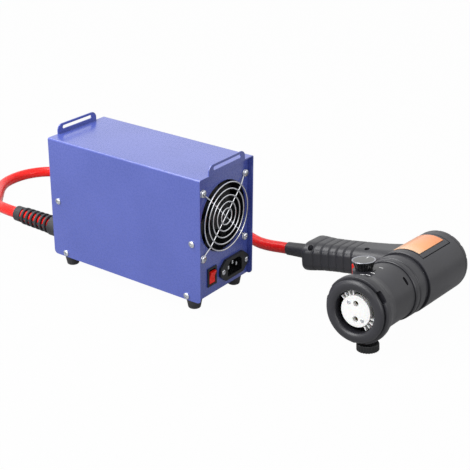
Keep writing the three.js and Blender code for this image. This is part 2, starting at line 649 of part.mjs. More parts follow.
function inletBody() {
  const face = frontFace - inlet.faceDepth;
  const back = frontFace + inlet.bodyDepth;
  const hw = inlet.faceWidth / 2;
  const hh = inlet.faceHeight / 2;
  const ear = inlet.screwPitch / 2;
  const outline = polygon([
    [-hw, -hh], [hw, -hh], [ear + inlet.earCorner, -inlet.earRadius], [ear + inlet.earRadius, 0],
    [ear + inlet.earCorner, inlet.earRadius], [hw, hh], [-hw, hh],
    [-ear - inlet.earCorner, inlet.earRadius], [-ear - inlet.earRadius, 0],
    [-ear - inlet.earCorner, -inlet.earRadius],
  ]);
  const body = join([
    alongY(outline, face, frontFace),
    block(
      -inlet.bodyWidth / 2, inlet.bodyWidth / 2, frontFace - gap, back,
      -inlet.bodyHeight / 2, inlet.bodyHeight / 2,
    ),
  ]);
  const w = inlet.wellWidth / 2;
  const h = inlet.wellHeight / 2;
  const c = inlet.wellChamfer;
  const well = polygon([[-w, -h], [w, -h], [w, h - c], [w - c, h], [-w + c, h], [-w, h - c]]);
  const tools = [alongY(well, face - overrun, back - inlet.backWall)];
  for (const i of [-1, 1]) {
    const hole = rod(face - overrun, frontFace + overrun, inletScrew.shank + gap, 12, 'y');
    tools.push(hole.translate(i * ear, 0, 0));
  }
  for (const { x, z } of pinPlaces) {
    tools.push(block(x - inlet.pinWidth / 2 - gap, x + inlet.pinWidth / 2 + gap,
      back - inlet.backWall - overrun, back + overrun, z - inlet.pinHeight / 2 - gap,
      z + inlet.pinHeight / 2 + gap));
  }
  return cut(body, tools);
}

const pinPlaces = [
  { x: -inlet.pinSpacing, z: -inlet.pinLow }, { x: 0, z: inlet.earthRise - inlet.pinLow },
  { x: inlet.pinSpacing, z: -inlet.pinLow },
];

const inletPlace = [inlet.centreX, 0, inlet.centreZ];
add(model, 'inlet_body', inletBody(), 'black').position.set(...inletPlace);
for (const [i, { x, z }] of pinPlaces.entries()) {
  const start = frontFace - inlet.faceDepth + inlet.pinInset;
  const end = frontFace + inlet.bodyDepth + inlet.pinTail;
  const wide = inlet.pinWidth / 2;
  const high = inlet.pinHeight / 2;
  const pin = block(-wide, wide, start, end, -high, high);
  add(model, `inlet_pin_${i + 1}`, pin, 'zinc').position.set(inlet.centreX + x, 0, inlet.centreZ + z);
}
for (const [i, side] of [-1, 1].entries()) {
  const x = inlet.centreX + (side * inlet.screwPitch) / 2;
  add(model, `inlet_screw_${i + 1}`, screw(inletScrew, 'y'), 'zinc')
    .position.set(x, frontFace - inlet.faceDepth, inlet.centreZ);
}

// Cable gland, its nut and the ribbed strain relief

function reliefGeometry() {
  const profile = [[0, 0], [0, relief.rootRadius], [relief.rootLength, relief.rootRadius]];
  for (let i = 0; i < relief.ribs; i += 1) {
    const start = relief.rootLength + (i + 1) * relief.ribPitch - relief.ribWidth;
    const radius = relief.ribRadius - i * relief.ribTaper;
    profile.push([start, relief.core], [start, radius]);
    profile.push([start + relief.ribWidth, radius], [start + relief.ribWidth, relief.core]);
    if (i === 0) profile.splice(3, 0, [relief.rootLength, relief.core]);
  }
  const tail = relief.length - relief.endLength;
  profile.push([tail, relief.core], [tail, relief.endRadius]);
  profile.push([relief.length, relief.endRadius], [relief.length, 0]);
  return turned(profile, 12, 'y');
}

const glandPlace = [gland.centreX, rearFace, gland.centreZ];
add(model, 'cable_gland', turned([
  [-gland.threadLength, 0], [-gland.threadLength, gland.threadRadius], [0, gland.threadRadius],
  [0, gland.collarRadius], [gland.collarLength, gland.collarRadius], [gland.collarLength, 0],
], 20, 'y'), 'black').position.set(...glandPlace);
add(model, 'gland_locknut', cut(
  rod(-sheet - gland.nutHeight, -sheet, gland.nutRadius, 6, 'y'),
  [rod(-sheet * 2 - gland.nutHeight, 0, gland.threadRadius + gap, 20, 'y')],
), 'black').position.set(...glandPlace);
add(model, 'strain_relief', reliefGeometry(), 'rubber')
  .position.set(gland.centreX, rearFace + gland.collarLength, gland.centreZ);

// Red cable: out of the strain relief, round in one wide turn, down to the floor, behind the
// case and up into the boot of the gun. The points are its middle line.
const floor = -foot.height;
const reliefEnd = rearFace + gland.collarLength + relief.length;
export const cablePoints = [
  [20.0, 282.8, 20.5], [20.3, 292.8, 20.3], [22.2, 304.6, 19.3], [26.6, 317.7, 17.0], [34.1, 331.4, 13.7],
  [46.0, 346.5, 9.3], [59.4, 360.5, 5.0], [73.1, 374.2, 1.2], [87.1, 387.9, -1.8], [101.9, 400.9, -3.9],
  [118.8, 411.0, -5.0], [138.1, 414.7, -5.4], [157.7, 411.9, -5.4], [174.9, 402.4, -5.4],
  [187.7, 387.4, -5.4], [194.0, 371.2, -5.4], [195.9, 353.8, -5.4], [196.0, 316.9, -5.4],
  [196.0, 280.0, -5.4],
  [196.0, 243.1, -5.4], [196.0, 206.3, -5.4], [196.0, 169.4, -5.4], [195.6, 132.5, -5.4],
  [187.3, 96.7, -5.4], [173.4, 62.6, -5.4], [168.0, 45.4, -5.2], [165.6, 29.7, -3.6], [165.0, 15.8, -1.6],
  [164.9, 3.9, 0.1],
];

function cableGeometry() {
  const path = new THREE.CatmullRomCurve3(cablePoints.map((p) => new THREE.Vector3(...p)));
  const ring = new THREE.Shape();
  for (let i = 0; i < cable.sides; i += 1) {
    const angle = (i / cable.sides) * 2 * Math.PI;
    const [x, y] = [cable.radius * Math.cos(angle), cable.radius * Math.sin(angle)];
    if (i === 0) ring.moveTo(x, y);
    else ring.lineTo(x, y);
  }
  ring.closePath();
  return welded(new THREE.ExtrudeGeometry(ring, { steps: cable.steps, extrudePath: path, curveSegments: 1 }));
}

add(model, 'red_cable', cableGeometry(), 'red');

// Inside the case: power board and what stands on it

const boardAt = (x, y) => [boardX[0] + x, boardY[0] + y, boardTop];

function heatsink() {
  const length = boardLength - sink.endInset * 2;
  const plates = [block(0, sink.base, 0, length, 0, sink.height)];
  const pitch = (sink.height - sink.finThick) / (sink.fins - 1);
  for (let i = 0; i < sink.fins; i += 1) {
    plates.push(block(sink.base - gap, sink.depth, 0, length, i * pitch, i * pitch + sink.finThick));
  }
  return join(plates);
}

add(model, 'power_board', block(...boardX, ...boardY, board.rise, boardTop), 'green');
add(model, 'board_tray', join([
  ...pillarPlaces.map(({ x, y }) => rod(sheet, board.rise, board.pillar, 12, 'z').translate(x, y, 0)),
  block(...boardX, ...boardY, sheet, sheet + board.rail),
]), 'black');
add(model, 'heatsink', heatsink(), 'alloy').position.set(...boardAt(sink.offsetX, sink.endInset));

function coreGeometry() {
  const outer = block(0, core.width, 0, core.length, 0, core.height);
  const windows = [];
  const open = (core.length - core.limb * 4) / 2;
  for (const y of [core.limb, core.length - core.limb - open]) {
    windows.push(block(-overrun, core.width + overrun, y, y + open, core.limb, core.height - core.limb));
  }
  return cut(outer, windows);
}

function windingGeometry() {
  const open = (core.length - core.limb * 4) / 2;
  const low = core.limb + gap;
  const high = core.height - core.limb - gap;
  const out = core.cleat;
  const middle = [core.limb + open, core.length - core.limb - open];
  const outer = block(-out, core.width + out, middle[0] - open + gap, middle[1] + open - gap, low, high);
  const inner = block(
    -gap, core.width + gap, middle[0] - gap, middle[1] + gap, low - overrun, high + overrun,
  );
  return cut(outer, [inner]);
}

const corePlace = boardAt(core.offsetX, (boardLength - core.length) / 2);
add(model, 'transformer_core', coreGeometry(), 'ferrite').position.set(...corePlace);
add(model, 'transformer_winding', windingGeometry(), 'copper').position.set(...corePlace);

// The gun. Its own axes: u along the barrel away from the ceramic face, v along the handle
// to its butt, and w up through the flank that looks at the sky.

const around = (turn, geometry) => geometry.rotateX(deg(turn));

function noseGeometry() {
  const tools = [];
  for (let i = 0; i < noseSlots.count; i += 1) {
    const middle = noseSlots.turn + (i * fullTurn) / noseSlots.count;
    const beyond = barrel.frontRadius * 2;
    const ring = pipe(noseSlots.start, noseSlots.end, beyond, noseSlots.floor, barrel.sides, 'x');
    tools.push(common(ring, wedge(middle, noseSlots.halfTurn)));
  }
  const hole = rod(barrel.frontRadius - overrun, clamp.start + overrun, clamp.stem + gap, 14, 'y');
  tools.push(around(clamp.turn, hole.translate(clamp.u, 0, clamp.offset)));
  return cut(turned(noseOutline, barrel.sides, 'x'), tools);
}

// A long wedge about the barrel's axis; turns are counted from v toward w
function wedge(middle, half) {
  const reach = barrel.frontRadius * 4;
  const points = [[0, 0]];
  for (const share of [-1, -1 / 2, 0, 1 / 2, 1]) {
    const angle = deg(middle + half * share);
    points.push([reach * Math.cos(angle), reach * Math.sin(angle)]);
  }
  return alongX(polygon(points), -barrel.frontEnd, barrel.shellEnd * 2);
}

function frontBarrel() {
  const { u, v } = dial;
  const tube = pipe(
    barrel.frontStart, barrel.frontEnd, barrel.frontRadius, barrel.frontBore, barrel.sides, 'x',
  );
  const boss = rod(dial.bossRoot, dial.bossTop, dial.bossRadius, 28, 'z').translate(u, v, 0);
  const bore = rod(-barrel.frontEnd, barrel.frontEnd * 2, barrel.frontBore, barrel.sides, 'x');
  const tools = [
    rod(0, dial.potTop + gap, dial.potRadius + gap, 20, 'z').translate(u, v, 0),
    rod(0, dial.bossTop + overrun, dial.bushing + gap, 16, 'z').translate(u, v, 0),
  ];
  for (let i = 0; i < barrelVent.count; i += 1) {
    const slot = new THREE.Shape();
    const half = barrelVent.length / 2;
    roundedRect(slot, -half, half, -barrelVent.width / 2, barrelVent.width / 2, (barrelVent.width - gap) / 2);
    const tool = alongZ(slot, barrel.frontBore / 2, barrel.frontRadius + overrun, 4).rotateZ(Math.PI / 2);
    tool.rotateX(-Math.PI / 2);
    const turn = barrelVent.turn + (i * fullTurn) / barrelVent.count;
    tools.push(around(turn, tool.translate(barrelVent.at, 0, 0)));
  }
  return cut(join([tube, cut(boss, [bore])]), tools);
}

function collarGeometry() {
  return join([
    turned(collarOutline, barrel.sides, 'x'),
    pipe(spigot.frontStart, collarSize.start + gap, spigot.front, spigot.bore, barrel.sides, 'x'),
    pipe(barrel.shellStart - gap * 2, spigot.rearEnd, spigot.rear, spigot.bore, barrel.sides, 'x'),
  ]);
}

// Ceramic disc, finned insulator behind it, two coil sockets and their holder

const holePlaces = [-1, 1].map((i) => ({
  y: i * disc.holeOffset * Math.cos(deg(disc.turn)), z: i * disc.holeOffset * Math.sin(deg(disc.turn)),
}));
const discScrewPlaces = [-1, 1].map((i) => ({
  y: i * disc.screwOffset * Math.cos(deg(disc.screwTurn)),
  z: i * disc.screwOffset * Math.sin(deg(disc.screwTurn)),
}));
const finnedStart = disc.thick + gap;
const finnedEnd = finnedStart + finned.thick;

function holes(places, radius, start, end) {
  return places.map(({ y, z }) => rod(start, end, radius, 12, 'x').translate(0, y, z));
}

function discGeometry() {
  const body = turned([
    [0, 0], [0, disc.radius - disc.edge], [disc.edge, disc.radius], [disc.thick, disc.radius],
    [disc.thick, 0],
  ], 36, 'x');
  return cut(body, [
    ...holes(holePlaces, disc.hole, -overrun, disc.thick + overrun),
    ...holes(discScrewPlaces, discScrew.shank + gap, -overrun, disc.thick + overrun),
  ]);
}

function finnedGeometry() {
  const pieces = [rod(finnedStart, finnedEnd, finned.hub, 32, 'x')];
  const outer = disc.radius + gap;
  const half = finned.finWidth / 2;
  for (const { middleTurn, fins } of finGroups) {
    for (let i = 0; i < fins; i += 1) {
      const turn = middleTurn + (i - (fins - 1) / 2) * finned.turnStep;
      const fin = block(finnedStart, finnedEnd, finned.hub - overrun, finned.reach, -half, half);
      pieces.push(around(turn, fin));
      pieces.push(around(turn, block(finned.front, finnedEnd, outer, finned.reach, -half, half)));
    }
  }
  return cut(join(pieces), [
    ...holes(holePlaces, socket.radius + gap, finnedStart - overrun, finnedEnd + overrun),
    ...holes(discScrewPlaces, discScrew.shank + gap, finnedStart - overrun, finnedEnd + overrun),
  ]);
}

function holderGeometry() {
  const end = holder.start + holder.thick;
  const body = turned([
    [finnedEnd + gap, 0], [finnedEnd + gap, holder.boss], [holder.start, holder.boss],
    [holder.start, spigot.front], [end, spigot.front], [end, 0],
  ], barrel.sides, 'x');
  const tools = [
    ...holes(holePlaces, socket.radius + gap, finnedEnd - overrun, end + overrun),
    ...holes(discScrewPlaces, discScrew.shank + gap, finnedEnd - overrun, end + overrun),
  ];
  for (let i = 0; i < holder.windows; i += 1) {
    const hole = rod(holder.start - overrun, end + overrun, holder.windowRadius, 12, 'x');
    tools.push(around((i * fullTurn) / holder.windows, hole.translate(0, holder.windowOffset, 0)));
  }
  return cut(body, tools);
}

add(gun, 'nose_ring', noseGeometry(), 'shell');
add(gun, 'front_barrel', frontBarrel(), 'shell');
add(gun, 'barrel_collar', collarGeometry(), 'shell');
add(gun, 'ceramic_disc', discGeometry(), 'ceramic');
add(gun, 'finned_insulator', finnedGeometry(), 'ceramic');
add(gun, 'coil_holder', holderGeometry(), 'black');
for (const [i, { y, z }] of discScrewPlaces.entries()) {
  add(gun, `disc_screw_${i + 1}`, screw(discScrew, 'x'), 'zinc').position.set(0, y, z);
}

// The two sockets are the ends of the secondary winding, so they are one piece with it
const ringCoreEnd = ringCore.start + ringCore.length;

function coilSockets() {
  const tubes = holePlaces.map(({ y, z }) => turned([
    [finnedStart, socket.bore], [finnedStart, socket.radius], [socket.end, socket.radius], [socket.end, 0],
    [finnedStart + socket.boreDepth, 0], [finnedStart + socket.boreDepth, socket.bore],
  ], 24, 'x').translate(0, y, z));
  return join([...tubes, pipe(winding.start, ringCoreEnd, winding.radius, winding.bore, 24, 'x')]);
}

add(gun, 'coil_sockets', coilSockets(), 'brass');

// Ring core of the matching transformer, held in the collar

add(gun, 'gun_core', pipe(ringCore.start, ringCoreEnd, ringCore.radius, ringCore.bore, 32, 'x'), 'ferrite');

// Handle and rear barrel: two hollow halves that meet on the middle plane

const handleU = (v) => handle.rootU - v * Math.tan(deg(handle.rakeTurn));
const reachOf = (station) => station.reachShare * handle.length;
const screwReaches = [
  { v: screwPost.nearReach, offset: screwPost.nearOffset },
  { v: handle.length - screwPost.endInset, offset: screwPost.endOffset },
];
const screwPlaces = screwReaches.map(({ v, offset }) => ({ u: handleU(v) - offset, v }));

function stationAt(v) {
  let low = handleStations[0];
  let high = handleStations[handleStations.length - 1];
  for (const station of handleStations) {
    if (reachOf(station) <= v) low = station;
  }
  for (const station of [...handleStations].reverse()) {
    if (reachOf(station) >= v) high = station;
  }
  const span = reachOf(high) - reachOf(low);
  const share = span > 0 ? (v - reachOf(low)) / span : 0;
  return {
    wide: low.wide + (high.wide - low.wide) * share,
    thick: low.thick + (high.thick - low.thick) * share,
  };
}

// A cylinder whose rings are moved to the handle's stations, drawn in by an inset
function handleSolid(rings, inset) {
  const last = rings.length - 1;
  const g = new THREE.CylinderGeometry(1, 1, 1, handle.sides, last);
  const at = g.attributes.position;
  for (let i = 0; i < at.count; i += 1) {
    const { v, dip } = rings[Math.round((at.getY(i) + 1 / 2) * last)];
    const { wide, thick } = stationAt(v);
    const [x, z] = [at.getX(i), at.getZ(i)];
    const squaring = 2 / handle.squareShare;
    const onRim = Math.hypot(x, z) > 1 / 2;
    const sx = onRim ? Math.sign(x) * Math.abs(x) ** squaring : 0;
    const sz = onRim ? Math.sign(z) * Math.abs(z) ** squaring : 0;
    at.setXYZ(i, handleU(v) + sx * (wide - inset - dip), v, sz * (thick - inset - dip));
  }
  return g;
}

function handleRings(end, withGrooves) {
  const rings = handleStations.map(reachOf).filter((v) => v < end).map((v) => ({ v, dip: 0 }));
  rings.push({ v: end, dip: 0 });
  if (withGrooves) {
    for (let i = 0; i < grooves.count; i += 1) {
      const v = handle.length - grooves.endInset - i * grooves.pitch;
      const half = grooves.width / 2;
      rings.push({ v: v - half, dip: 0 }, { v, dip: grooves.depth }, { v: v + half, dip: 0 });
    }
  }
  return rings.sort((a, b) => a.v - b.v).filter((ring, i, all) => i === 0 || ring.v - all[i - 1].v > gap);
}

// A thin patch of the rear barrel's skin, from one turn to another about w
function skinPatch(start, end, halfTurn, low, high) {
  return common(pipe(start, end, high, low, barrel.sides, 'x'), wedge(90, halfTurn));
}

const triggerWindow = block(
  trigger.tip, trigger.lipStart + overrun, trigger.low - gap, trigger.rootHigh + gap,
  -trigger.width / 2 - gap, trigger.width / 2 + gap,
);

function shellSolid() {
  const sides = barrel.sides;
  const outerBarrel = rod(barrel.shellStart, barrel.shellEnd, barrel.shellRadius, sides, 'x');
  const bore = rod(barrel.shellStart - overrun, barrel.shellEnd + overrun, barrel.shellBore, sides, 'x');
  const outerHandle = handleSolid(handleRings(handle.length, true), 0);
  const innerHandle = handleSolid(handleRings(handle.length - handle.wall, false), handle.wall);
  let shell = solid(outerBarrel).add(solid(outerHandle));
  const outer = shell;
  shell = shell.subtract(solid(innerHandle));
  for (const { u, v } of screwPlaces) {
    const length = handle.length;
    const post = rod(-length, length, screwPost.radius, 16, 'z').translate(u, v, 0);
    shell = shell.add(solid(post).intersect(outer));
  }
  const rimHigh = barrel.shellRadius + overrun;
  const floor = barrel.shellRadius - groove.depth;
  const patch = solid(skinPatch(groove.start, groove.end, groove.halfTurn, floor, rimHigh));
  const lineTurn = groove.halfTurn - THREE.MathUtils.radToDeg(groove.width / barrel.shellRadius);
  const inside = solid(skinPatch(groove.start + groove.width, groove.end - groove.width, lineTurn,
    barrel.shellRadius - overrun, rimHigh + overrun));
  const spread = label.halfTurn + label.spareTurn;
  const bed = skinPatch(label.start - gap, label.end + gap, spread, barrel.shellRadius - gap, rimHigh);
  const butt = rod(handle.length - handle.wall - overrun, handle.length + overrun, boot.neck + gap, 20, 'y');
  const capSpace = rod(barrel.shellEnd, barrel.shellEnd * 2, barrel.shellRadius + gap, sides, 'x');
  const tools = [bore, bed, capSpace, triggerWindow, butt.translate(handleU(handle.length), 0, 0)];
  for (const { u, v } of screwPlaces) {
    tools.push(rod(-handle.length, screwPost.seat, shellScrew.shank + gap, 12, 'z').translate(u, v, 0));
    tools.push(rod(screwPost.seat, handle.length, shellScrew.head + gap, 16, 'z').translate(u, v, 0));
  }
  shell = tools.reduce((a, b) => a.subtract(solid(b)), shell);
  return shell.subtract(patch.subtract(inside));
}

// The screw holes end inside the lower half: its outer skin is whole again under them
const shell = shellSolid();
const far = handle.length * 2;
const upperHalf = solid(block(-far, far, -far, far, gap / 2, far));
const lowerHalf = solid(block(-far, far, -far, far, -far, -gap / 2));
const lowerSkin = solid(handleSolid(handleRings(handle.length, true), 0))
  .intersect(solid(block(-far, far, -far, far, -far, -screwPost.seat)));
const plugs = screwPlaces.map(({ u, v }) =>
  solid(rod(-far, far, shellScrew.shank * 2, 12, 'z').translate(u, v, 0)).intersect(lowerSkin));
add(gun, 'shell_upper', geometryOf(shell.intersect(upperHalf)), 'shell');
add(gun, 'shell_lower', geometryOf(plugs.reduce((a, b) => a.add(b), shell.intersect(lowerHalf))), 'shell');
for (const [i, { u, v }] of screwPlaces.entries()) {
  const piece = add(gun, `shell_screw_${i + 1}`, screw(shellScrew, 'z'), 'darkSteel');
  piece.position.set(u, v, screwPost.seat);
  piece.rotation.x = Math.PI;
}

function rearCap() {
  const tools = [];
  for (let i = 0; i < capSlots.count; i += 1) {
    const half = capSlots.width / 2;
    const slot = block(capSlots.start, capSlots.start * 2, capSlots.low, capSlots.high, -half, half);
    tools.push(around(((i + 1 / 2) * fullTurn) / capSlots.count, slot));
  }
  return cut(turned(capOutline, barrel.sides, 'x'), tools);
}

add(gun, 'rear_cap', rearCap(), 'shell');
add(gun, 'label_plate', skinPatch(label.start, label.end, label.halfTurn, barrel.shellRadius,
  barrel.shellRadius + label.thick), 'orange');

// Trigger and its switch

function triggerGeometry() {
  const outline = new THREE.Shape();
  const middle = (trigger.low + trigger.high) / 2;
  outline.moveTo(trigger.back, trigger.low);
  outline.lineTo(trigger.tip + trigger.dish, trigger.low);
  const bow = trigger.tip + trigger.dish + trigger.bow;
  outline.quadraticCurveTo(bow, middle, trigger.tip, trigger.high - trigger.dish / 4);
  outline.lineTo(trigger.tip + trigger.dish / 2, trigger.high);
  outline.lineTo(trigger.back, trigger.high);
  const half = trigger.width / 2;
  const lipHalf = trigger.lipWidth / 2;
  return join([
    alongZ(outline, -half, half, 10),
    block(trigger.back - overrun, trigger.rootEnd, trigger.low, trigger.rootHigh, -half, half),
    block(trigger.lipStart, trigger.rootEnd, trigger.low, trigger.rootHigh, -lipHalf, lipHalf),
  ]);
}

add(gun, 'trigger', triggerGeometry(), 'red');
add(gun, 'trigger_switch', block(
  triggerSwitch.start, triggerSwitch.start + triggerSwitch.length, triggerSwitch.low, triggerSwitch.high,
  -triggerSwitch.width / 2, triggerSwitch.width / 2,
), 'black');

// Dial with its control, clamping thumb screw and cable boot

// Draws in one end of an upright piece round its own axis
function narrowed(geometry, level, share) {
  const place = geometry.attributes.position;
  for (let i = 0; i < place.count; i += 1) {
    if (Math.abs(place.getZ(i) - level) < gap) {
      place.setXY(i, place.getX(i) * share, place.getY(i) * share);
    }
  }
  return geometry;
}

function dialKnob() {
  const start = dial.bossTop + gap;
  const outline = flutedOutline(dial.radius, dial.dip, dial.flutes);
  const top = start + dial.height;
  const side = narrowed(alongZ(outline, start, top), start, dial.footShare);
  const body = join([side, rod(top - gap, top + dial.capRise, dial.capRadius, 32, 'z')]);
  const tools = [
    rod(0, dial.bossTop + dial.bushingRise + gap, dial.bushing + gap, 16, 'z'),
    rod(0, dial.bossTop + dial.shaftReach + gap, dial.shaft + gap, 16, 'z'),
  ];
  return cut(body, tools);
}

add(gun, 'dial_knob', dialKnob(), 'black').position.set(dial.u, dial.v, 0);
add(gun, 'dial_control', turned([
  [dial.potTop - dial.potHeight, 0], [dial.potTop - dial.potHeight, dial.potRadius],
  [dial.potTop, dial.potRadius],
  [dial.potTop, dial.bushing], [dial.bossTop + dial.bushingRise, dial.bushing],
  [dial.bossTop + dial.bushingRise, dial.shaft], [dial.bossTop + dial.shaftReach, dial.shaft],
  [dial.bossTop + dial.shaftReach, 0],
], 20, 'z'), 'zinc').position.set(dial.u, dial.v, 0);

function clampKnob() {
  const outline = flutedOutline(clamp.radius, clamp.dip, clamp.flutes);
  const lugs = alongY(outline, 0, clamp.height);
  const rounded = turned([
    [0, 0], [0, clamp.radius - clamp.edge], [clamp.edge, clamp.radius],
    [clamp.height - clamp.edge, clamp.radius],
    [clamp.height, clamp.radius - clamp.edge], [clamp.height, 0],
  ], 32, 'y');
  const stem = rod(barrel.frontRadius + gap - clamp.start, clamp.edge, clamp.stem, 14, 'y');
  return join([common(lugs, rounded), stem]);
}

const clampTurn = deg(clamp.turn);
const clampMesh = add(gun, 'clamp_knob', clampKnob(), 'black');
clampMesh.position.set(
  clamp.u, clamp.start * Math.cos(clampTurn) - clamp.offset * Math.sin(clampTurn),
  clamp.start * Math.sin(clampTurn) + clamp.offset * Math.cos(clampTurn),
);
clampMesh.rotation.x = clampTurn;

const bootStart = handle.length + gap;
const buttInside = handle.length - handle.wall - gap;
add(gun, 'cable_boot', turned([
  [buttInside - boot.flangeThick, 0], [buttInside - boot.flangeThick, boot.flange], [buttInside, boot.flange],
  [buttInside, boot.neck], [bootStart, boot.neck], [bootStart, boot.root],
  [bootStart + boot.length, boot.tip], [bootStart + boot.length, 0],
], 20, 'y'), 'rubber').position.x = handleU(handle.length);

// The gun is turned as it lies in the photograph and let down until it touches the floor

const [pitch, roll, yaw] = [gunPlace.pitch, gunPlace.roll, gunPlace.yaw].map(deg);
const alongBarrel = new THREE.Vector3(
  Math.cos(yaw) * Math.cos(pitch), Math.sin(yaw) * Math.cos(pitch), -Math.sin(pitch));
const level = new THREE.Vector3(-Math.sin(yaw), Math.cos(yaw), 0);
const upright = alongBarrel.clone().cross(level);
const upFlank = upright.clone().multiplyScalar(Math.cos(roll)).addScaledVector(level, Math.sin(roll));
const alongHandle = level.clone().multiplyScalar(Math.cos(roll)).addScaledVector(upright, -Math.sin(roll));
gun.setRotationFromMatrix(new THREE.Matrix4().makeBasis(alongBarrel, alongHandle, upFlank));
gun.position.set(gunPlace.x, gunPlace.y, 0);
gun.updateMatrixWorld(true);
const gunLow = new THREE.Box3().setFromObject(gun, true).min.z;
gun.position.z = floor - gunLow;
model.add(gun);

// The origin goes under the middle of everything but the cable

model.updateMatrixWorld(true);
const solidBox = new THREE.Box3();
model.traverse((item) => {
  if (item.isMesh && item.name !== 'red_cable') solidBox.expandByObject(item, true);
});
const middle = solidBox.getCenter(new THREE.Vector3());
model.position.set(-middle.x, -middle.y, -solidBox.min.z);

export default model;
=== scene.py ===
"""Induction heater: blue sheet steel power case and charcoal induction gun on a thick red cable."""

import json
import math

import bmesh
import bpy
from mathutils import Matrix, Vector


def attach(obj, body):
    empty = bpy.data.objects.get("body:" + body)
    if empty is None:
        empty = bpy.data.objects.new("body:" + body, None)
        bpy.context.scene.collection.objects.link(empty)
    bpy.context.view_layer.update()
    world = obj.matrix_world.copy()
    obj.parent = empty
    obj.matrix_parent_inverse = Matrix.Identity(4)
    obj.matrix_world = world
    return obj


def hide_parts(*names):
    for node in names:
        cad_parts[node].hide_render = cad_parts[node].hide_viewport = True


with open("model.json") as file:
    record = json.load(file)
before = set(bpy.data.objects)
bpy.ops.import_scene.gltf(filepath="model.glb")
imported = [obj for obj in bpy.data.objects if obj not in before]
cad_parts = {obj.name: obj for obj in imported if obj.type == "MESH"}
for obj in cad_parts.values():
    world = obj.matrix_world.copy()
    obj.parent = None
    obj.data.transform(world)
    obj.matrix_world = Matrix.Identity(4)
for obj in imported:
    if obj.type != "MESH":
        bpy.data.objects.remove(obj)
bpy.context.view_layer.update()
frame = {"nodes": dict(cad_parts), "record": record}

MM = 0.001

# Where the case's lower front left corner and the gun's ceramic face are, in millimetres
CASE_CORNER = (-101.7283, -42.2454, 12.0)
GUN_NOSE = (-71.4283, -204.9454, 43.714)
ALONG_BARREL = (0.99812, -0.01568, -0.05931)
ALONG_HANDLE = (0.0073, 0.99028, -0.13893)
OUT_OF_FLANK = (0.06091, 0.13823, 0.98853)


def axes(x, y, z, origin):
    """A place with its own three axes; the origin is in millimetres."""
    return Matrix.Translation(Vector(origin) * MM) @ Matrix((x, y, z)).transposed().to_4x4()


IN_CASE = axes((1, 0, 0), (0, 1, 0), (0, 0, 1), CASE_CORNER)
IN_GUN = axes(ALONG_BARREL, ALONG_HANDLE, OUT_OF_FLANK, GUN_NOSE)
# Turned pieces are made standing on Z, and these lay them along another axis
TO_X = Matrix(((0, 0, 1), (1, 0, 0), (0, 1, 0))).to_4x4()
TO_Y = Matrix(((1, 0, 0), (0, 0, 1), (0, -1, 0))).to_4x4()
STAND = Matrix(((0, 0, 1), (0, 1, 0), (-1, 0, 0))).to_4x4()
TO_MINUS_X = Matrix(((0, 0, -1), (-1, 0, 0), (0, 1, 0))).to_4x4()


def at(x, y, z):
    """A shift in millimetres."""
    return Matrix.Translation((x * MM, y * MM, z * MM))


def turn(degrees, axis):
    """A turn about one axis through the origin."""
    return Matrix.Rotation(math.radians(degrees), 4, axis)


# Camera, fitted to the photograph: its place is in millimetres from the case's corner
CAMERA_PLACE = (-809.1, -634.8, 547.4)
CAMERA_YAW, CAMERA_TILT, CAMERA_ROLL = -53.811, 65.452, 0.359

camera_data = bpy.data.cameras.new("photo_camera")
camera_data.sensor_width = 36.0
camera_data.lens = 87.6
camera_data.clip_end = 20.0
camera = bpy.data.objects.new("photo_camera", camera_data)
bpy.context.scene.collection.objects.link(camera)
camera.matrix_world = (
    IN_CASE @ at(*CAMERA_PLACE) @ turn(CAMERA_YAW, "Z") @ turn(CAMERA_TILT, "X") @ turn(CAMERA_ROLL, "Z")
)
bpy.context.scene.camera = camera


# Materials


def srgb(code):
    """An sRGB hex colour as the linear numbers that a shader takes."""
    out = []
    for i in (0, 2, 4):
        c = int(code[i : i + 2], 16) / 255
        out.append(c / 12.92 if c <= 0.04045 else ((c + 0.055) / 1.055) ** 2.4)
    return (*out, 1.0)


def add_node(owner, kind, inputs=None, **settings):
    """Adds a node to a material or the world; an input is a value, or another node's output."""
    node = owner.node_tree.nodes.new(kind)
    for key, value in settings.items():
        setattr(node, key, value)
    for key, value in (inputs or {}).items():
        if isinstance(value, bpy.types.NodeSocket):
            owner.node_tree.links.new(value, node.inputs[key])
        else:
            node.inputs[key].default_value = value
    return node


def new_finish(name, **shader):
    """A material with one Principled shader; its plain values sit on the shader's own sockets."""
    material = bpy.data.materials.new(name)
    material.use_nodes = True
    node = material.node_tree.nodes["Principled BSDF"]
    for key, value in shader.items():
        node.inputs[key.replace("_", " ")].default_value = value
    return material, node


def surface_place(material):
    return add_node(material, "ShaderNodeTexCoord").outputs["Object"]


def per_mm(size):
    """The scale at which a pattern on Object coordinates repeats about every size millimetres."""
    return 1000.0 / size


